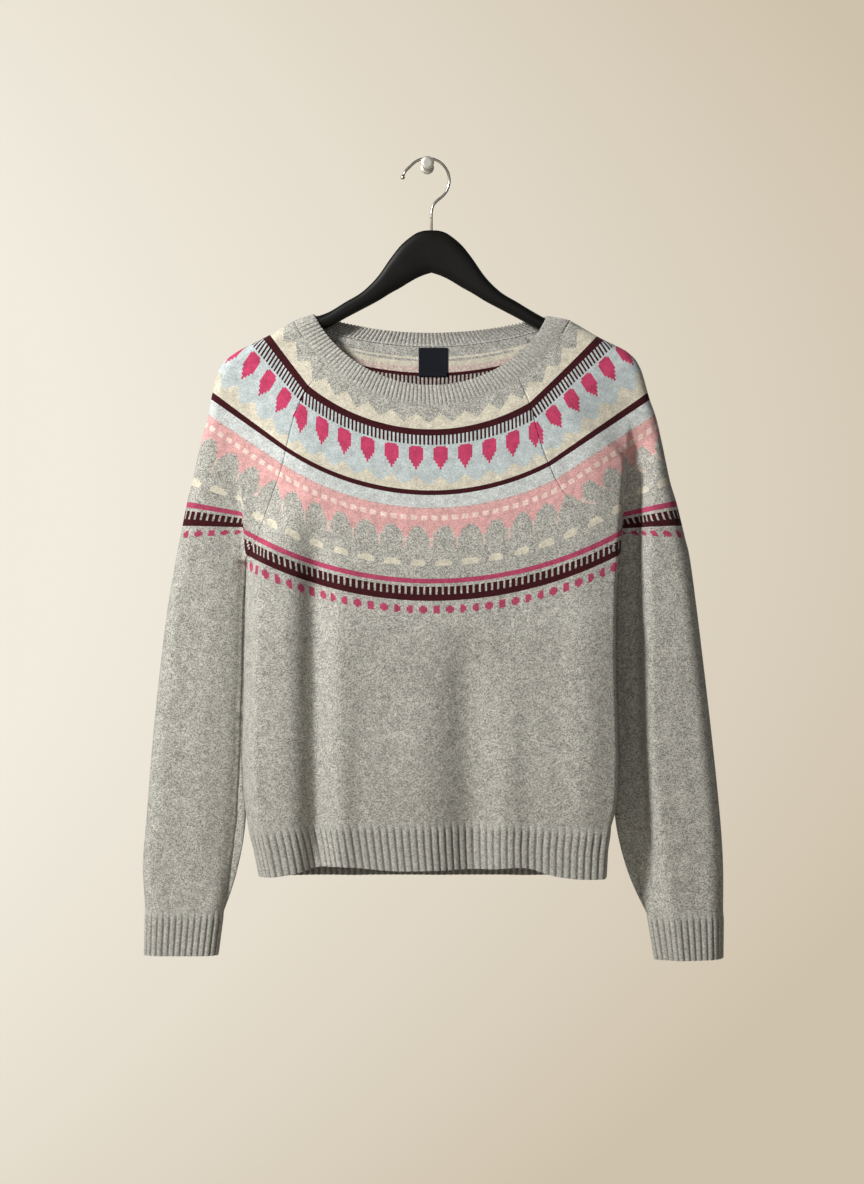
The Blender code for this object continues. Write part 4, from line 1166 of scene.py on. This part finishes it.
# flecks 0.8 mm across, as in the body
fleck = node(tree, "ShaderNodeTexVoronoi", {"Scale": 1250.0},
             {"Vector": coords.outputs["Object"]})
apart = node(tree, "ShaderNodeSeparateColor", None, {0: fleck.outputs["Color"]})
grey = node(tree, "ShaderNodeMix", {"data_type": "RGBA", 6: linear("#7f7e78"),
                                    7: linear("#c9c8c1")}, {0: apart.outputs[0]})
# painted shade: the colour is darkened in the purled grooves, where shade falls
groove = node(tree, "ShaderNodeAttribute", {"attribute_name": "out_of_groove"})
shade = node(tree, "ShaderNodeMapRange", {"From Min": 0.0, "From Max": 0.7, "To Min": 0.42,
                                          "To Max": 1.0}, {"Value": groove.outputs["Fac"]})
tint = node(tree, "ShaderNodeVectorMath", {"operation": "SCALE"},
            {0: grey.outputs[2], "Scale": shade.outputs[0]})
tree.links.new(tint.outputs[0], shader.inputs["Base Color"])
fuzz = node(tree, "ShaderNodeBump", {"Strength": 0.5, "Distance": 0.0005},
            {"Height": fleck.outputs["Distance"]})
tree.links.new(fuzz.outputs[0], shader.inputs["Normal"])


def rib_piece(name, node_name, levels, count, rise, inward, closed):
    """A ribbed trim with its wall, attached to the root body, with its piece of the part hidden.
    """
    points, faces, out = ribs(levels, count, rise, inward, closed)
    made = new_object(name, points, faces, RIB)
    # share out of the groove, read by the material to paint shade into the grooves' colour
    lit = made.data.attributes.new("out_of_groove", "FLOAT", "POINT")
    lit.data.foreach_set("value", out.astype(np.float32))
    crisp_rims(made.data)
    thicken(made, SHELL)
    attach(made, "root")
    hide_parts(node_name)
    return made


s = crowded(320)
sides = []
for radius, left, right in (
        (NECK_SEAM_R, SLEEVE_LEFT[0][1:3], SLEEVE_RIGHT[0][1:3]),
        (NECK_OPENING_R, NECK_END_LEFT, NECK_END_RIGHT)):
    first = math.atan2(left[0], NECK_CENTRE_Z - left[1])
    last = math.atan2(right[0], NECK_CENTRE_Z - right[1])
    angle = first + (last - first) * s
    reach = neck_reach(angle, radius, left, right)
    edge = "seam" if radius == NECK_SEAM_R else "open"
    x_back = right[0] + (left[0] - right[0]) * s
    z_back = neck_back(x_back, BACK_SEAM_Z if edge == "seam" else BACK_TOP_Z, edge)
    sides.append(((reach * np.sin(angle), NECK_CENTRE_Z - reach * np.cos(angle)),
                  (x_back, z_back)))
levels = []
for t in np.linspace(0.0, 1.0, 13):
    line = []
    for part, face in ((0, "front"), (1, "back")):
        x = sides[0][part][0] + (sides[1][part][0] - sides[0][part][0]) * t
        z = sides[0][part][1] + (sides[1][part][1] - sides[0][part][1]) * t
        places = cloth(x, z, face, "body")
        swell = TRIM_SWELL * math.sin(math.pi * t) * (-1.0 if face == "front" else 1.0)
        places[:, 1] += swell
        line.append(places if part == 0 else places[1:])
    levels.append(np.concatenate(line))
middle = np.array((GARMENT_X, MID_Y, -190.0))
rib_piece("neck_trim", "neck_band", levels, NECK_RIBS, NECK_RISE, middle, True)

# Hem ribs
# Ribbed welts knitted on below front and back, drawing the body in a little; the back
# one hangs lower and shows under the front.
HEM_RIBS = 60
BACK_DROP = 4.5

# Lower edge of the front hem across the width.
HEM_COLUMNS = ("x", "front_z")
HEM = (
    (-182.1, -753.5),
    (-160.0, -751.0),
    (-141.0, -747.6),
    (-127.0, -743.6),
    (-30.0, -744.8),
    (60.0, -743.4),
    (106.0, -743.2),
    (121.0, -748.4),
    (146.0, -752.6),
    (184.7, -753.5),
)


def hem_levels(face):
    """Rows of points from the panel's last row down to the hem's edge."""
    s = crowded(300)
    last = np.array([float(UNDERARM + RIB_TOP)])
    x_top, z_top = panel_places(last, face, s)
    waist = BODY[-2]
    foot = BODY[-1]
    x_mid = waist[1] + (waist[2] - waist[1]) * s
    x_end = foot[1] + (foot[2] - foot[1]) * s
    if face == "front":
        z_end = smooth(x_end, column(HEM, HEM_COLUMNS, "x"), column(HEM, HEM_COLUMNS, "front_z"))
    else:
        z_end = np.full(len(s), foot[4] - BACK_DROP)
    lines = []
    for t in np.linspace(0.0, 1.0, 15):
        keys = np.array((0.0, 0.5, 1.0))
        shares = np.interp(t, keys, (1.0, 0.0, 0.0)), np.interp(t, keys, (0.0, 1.0, 0.0))
        x = x_top[0] * shares[0] + x_mid * shares[1] + x_end * (1.0 - shares[0] - shares[1])
        z = z_top[0] + (z_end - z_top[0]) * t
        lines.append(cloth(x, z, face, "body"))
    return lines


middle = np.array((GARMENT_X, MID_Y, -725.0))
rib_piece("hem_welt_front", "hem_rib_front", hem_levels("front"), HEM_RIBS, RIB_RISE, middle,
          False)
rib_piece("hem_welt_back", "hem_rib_back", hem_levels("back"), HEM_RIBS, RIB_RISE, middle,
          False)

# Cuffs
# Ribbed cuffs, each knitted on to the sleeve's end and closed with its seam.
CUFF_RIBS = 28


def cuff(name, node_name, side):
    """Rows of points round the sleeve from the cuff's top to its edge."""
    k = CUFF_TOP + np.linspace(0.0, 1.0, 15)
    s = crowded(120)
    x_front, z_front = sleeve_places(k, side, "front", s)
    x_back, z_back = sleeve_places(k, side, "back", s)
    near = cloth(x_front, z_front, "front", "sleeve")
    far = cloth(x_back, z_back, "back", "sleeve")
    lines = list(np.concatenate((near, far[:, ::-1][:, 1:]), axis=1))
    middle = np.array((x_front.mean() + GARMENT_X, MID_Y, z_front.mean()))
    return rib_piece(name, node_name, lines, CUFF_RIBS, RIB_RISE, middle, True)


cuff("cuff_rib_left", "cuff_left", -1)
cuff("cuff_rib_right", "cuff_right", 1)

# Label
# A bare square of dark navy woven satin, sewn flat inside the back just below the trim.
LABEL_SIZE = 31.0
LABEL_TOP_Z = -193.8
LABEL_X = 1.8
LABEL_STEPS = 24
LABEL_LIFT = 0.55
# woven polyester satin: fine even ribs and a low sheen; threads 0.4 mm apart are drawn
# 0.9 mm apart so that they show
satin, tree, shader = new_material("woven_satin", Roughness=0.7, Specular_IOR_Level=0.15,
                                   Sheen_Weight=0.05)
coords = node(tree, "ShaderNodeTexCoord")
warp = node(tree, "ShaderNodeTexWave", {"bands_direction": "X", "Scale": 350.0,
                                        "Distortion": 0.4},
            {"Vector": coords.outputs["Object"]})
weft = node(tree, "ShaderNodeTexWave", {"bands_direction": "Z", "Scale": 350.0,
                                        "Distortion": 0.4},
            {"Vector": coords.outputs["Object"]})
cross = node(tree, "ShaderNodeMath", {"operation": "MULTIPLY"},
             {0: warp.outputs[1], 1: weft.outputs[1]})
tone = node(tree, "ShaderNodeMix", {"data_type": "RGBA", 6: linear("#0b0f16"),
                                    7: linear("#1a202a")}, {0: cross.outputs[0]})
tree.links.new(tone.outputs[2], shader.inputs["Base Color"])
threads = node(tree, "ShaderNodeBump", {"Strength": 0.3, "Distance": 0.0002},
               {"Height": cross.outputs[0]})
tree.links.new(threads.outputs[0], shader.inputs["Normal"])
across = np.linspace(0.0, 1.0, LABEL_STEPS + 1)
u, v = np.meshgrid(across, across, indexing="ij")
x = LABEL_X + LABEL_SIZE * (v - 0.5)
z = LABEL_TOP_Z - LABEL_SIZE * u
places = cloth(x, z, "back", "body")
# the folded edges are a little thicker than the middle
hem = 0.25 * np.exp(-((np.minimum.reduce((u, 1.0 - u, v, 1.0 - v)) - 0.06) / 0.03) ** 2)
places[:, :, 1] -= WALL + SEAM + LABEL_LIFT + hem
n = LABEL_STEPS + 1
r, c = np.meshgrid(np.arange(LABEL_STEPS), np.arange(LABEL_STEPS), indexing="ij")
quads = np.stack((r * n + c, (r + 1) * n + c, (r + 1) * n + c + 1, r * n + c + 1),
                 axis=-1).reshape(-1, 4)
label = new_object("woven_label", places.reshape(-1, 3), quads.tolist(), satin)
thicken(label, 0.5)
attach(label, "root")
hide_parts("label")

# Hanger
# Contoured hanger moulded in black ABS: it rises to the hook's seat in the middle and
# swells into the arms, which lie under the shoulders.
HANGER_COLUMNS = ("x", "top_z", "bottom_z", "half_depth")
HANGER = (
    (0.0, -70.4, -115.5, 6.0),
    (8.0, -70.9, -118.0, 6.0),
    (15.0, -73.0, -121.0, 6.1),
    (24.0, -79.0, -126.0, 6.3),
    (32.0, -86.0, -131.0, 6.5),
    (43.0, -99.8, -137.0, 6.7),
    (56.0, -118.5, -145.0, 6.9),
    (71.0, -134.0, -153.0, 7.1),
    (92.0, -147.2, -164.0, 7.2),
    (108.0, -156.8, -173.0, 7.2),
)
ARM_X = (124.0, 146.0, 160.0, 176.5, 190.0, 202.0)
ARM_UNDER_SHOULDER = 3.1
ARM_DEPTH = 16.0
ARM_HALF = 7.2
TIP_DROP = 2.2


def arm_top(side):
    """Top of the arm under the shoulder fold: the fold's height less the clearance
    measured square to it, dropping a little towards the tip."""
    rows = SLEEVES[side]
    end = NECK_END_LEFT if side < 0 else NECK_END_RIGHT
    xs = np.array([abs(end[0])] + [abs(row[1]) for row in rows[:4]])
    zs = np.array([end[1]] + [row[2] for row in rows[:4]])
    x = np.array(ARM_X)
    slope = np.abs(np.interp(x + 4.0, xs, zs) - np.interp(x - 4.0, xs, zs)) / 8.0
    drop = TIP_DROP * ease((x - 176.5) / 30.0)
    return np.interp(x, xs, zs) - ARM_UNDER_SHOULDER * np.hypot(1.0, slope) - drop


def hanger_half(side):
    """Stations of one half: place along X, middle height, half height, half depth."""
    rows = np.array(HANGER)
    tops = arm_top(side)
    x = np.concatenate((rows[:, 0], ARM_X))
    top = np.concatenate((rows[:, 1], tops))
    bottom = np.concatenate((rows[:, 2], tops - ARM_DEPTH))
    half = np.concatenate((rows[:, 3], np.full(len(ARM_X), ARM_HALF)))
    at = np.concatenate((np.linspace(0.0, 206.0, 90), np.array((208.0, 209.6, 210.8, 211.6))))
    shrink = np.ones(len(at))
    shrink[-4:] = (0.8, 0.66, 0.5, 0.35)
    middle = 0.5 * (smooth(at, x, top) + smooth(at, x, bottom))
    tall = 0.5 * (smooth(at, x, top) - smooth(at, x, bottom)) * shrink
    return np.stack((side * at, middle, tall, smooth(at, x, half) * shrink), axis=1)


left = hanger_half(-1)
right = hanger_half(1)
stations = np.concatenate((left[:0:-1], right))
a = np.linspace(0.0, 2.0 * math.pi, 40, endpoint=False)
# the section is squarer in the middle, where it shows, and oval along the arms
power = 0.72 + 0.28 * ease((np.abs(stations[:, 0:1]) - 95.0) / 25.0)
across = np.sign(np.cos(a)) * np.abs(np.cos(a)) ** power
upright = np.sign(np.sin(a)) * np.abs(np.sin(a)) ** power
x = np.repeat(stations[:, 0:1], len(a), axis=1) + GARMENT_X
y = MID_Y + stations[:, 3:4] * across
z = stations[:, 1:2] + stations[:, 2:3] * upright
faces = [face[::-1] for face in tube_faces(len(stations), len(a))]
# black ABS with a fine satin texture: dark, with broad soft grey lights on its edges
abs_black, tree, shader = new_material("satin_black_abs", Roughness=0.42, IOR=1.45,
                                       Specular_IOR_Level=0.28)
coords = node(tree, "ShaderNodeTexCoord")
# spark texture 0.6 mm across
spark = node(tree, "ShaderNodeTexNoise", {"Scale": 1600.0, "Detail": 2.0},
             {"Vector": coords.outputs["Object"]})
rub = node(tree, "ShaderNodeTexNoise", {"Scale": 45.0, "Detail": 4.0},
           {"Vector": coords.outputs["Object"]})
tone = node(tree, "ShaderNodeMix", {"data_type": "RGBA", 6: linear("#080807"),
                                    7: linear("#100f0e")}, {0: rub.outputs[0]})
tree.links.new(tone.outputs[2], shader.inputs["Base Color"])
dull = node(tree, "ShaderNodeMapRange", {"To Min": 0.36, "To Max": 0.52},
            {"Value": rub.outputs[0]})
tree.links.new(dull.outputs[0], shader.inputs["Roughness"])
skin = node(tree, "ShaderNodeBump", {"Strength": 0.12, "Distance": 0.0003},
            {"Height": spark.outputs[0]})
tree.links.new(skin.outputs[0], shader.inputs["Normal"])
hanger = new_object("moulded_hanger", np.stack((x, y, z), axis=-1).reshape(-1, 3),
                    faces, abs_black, 60.0)
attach(hanger, "root")
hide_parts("hanger")
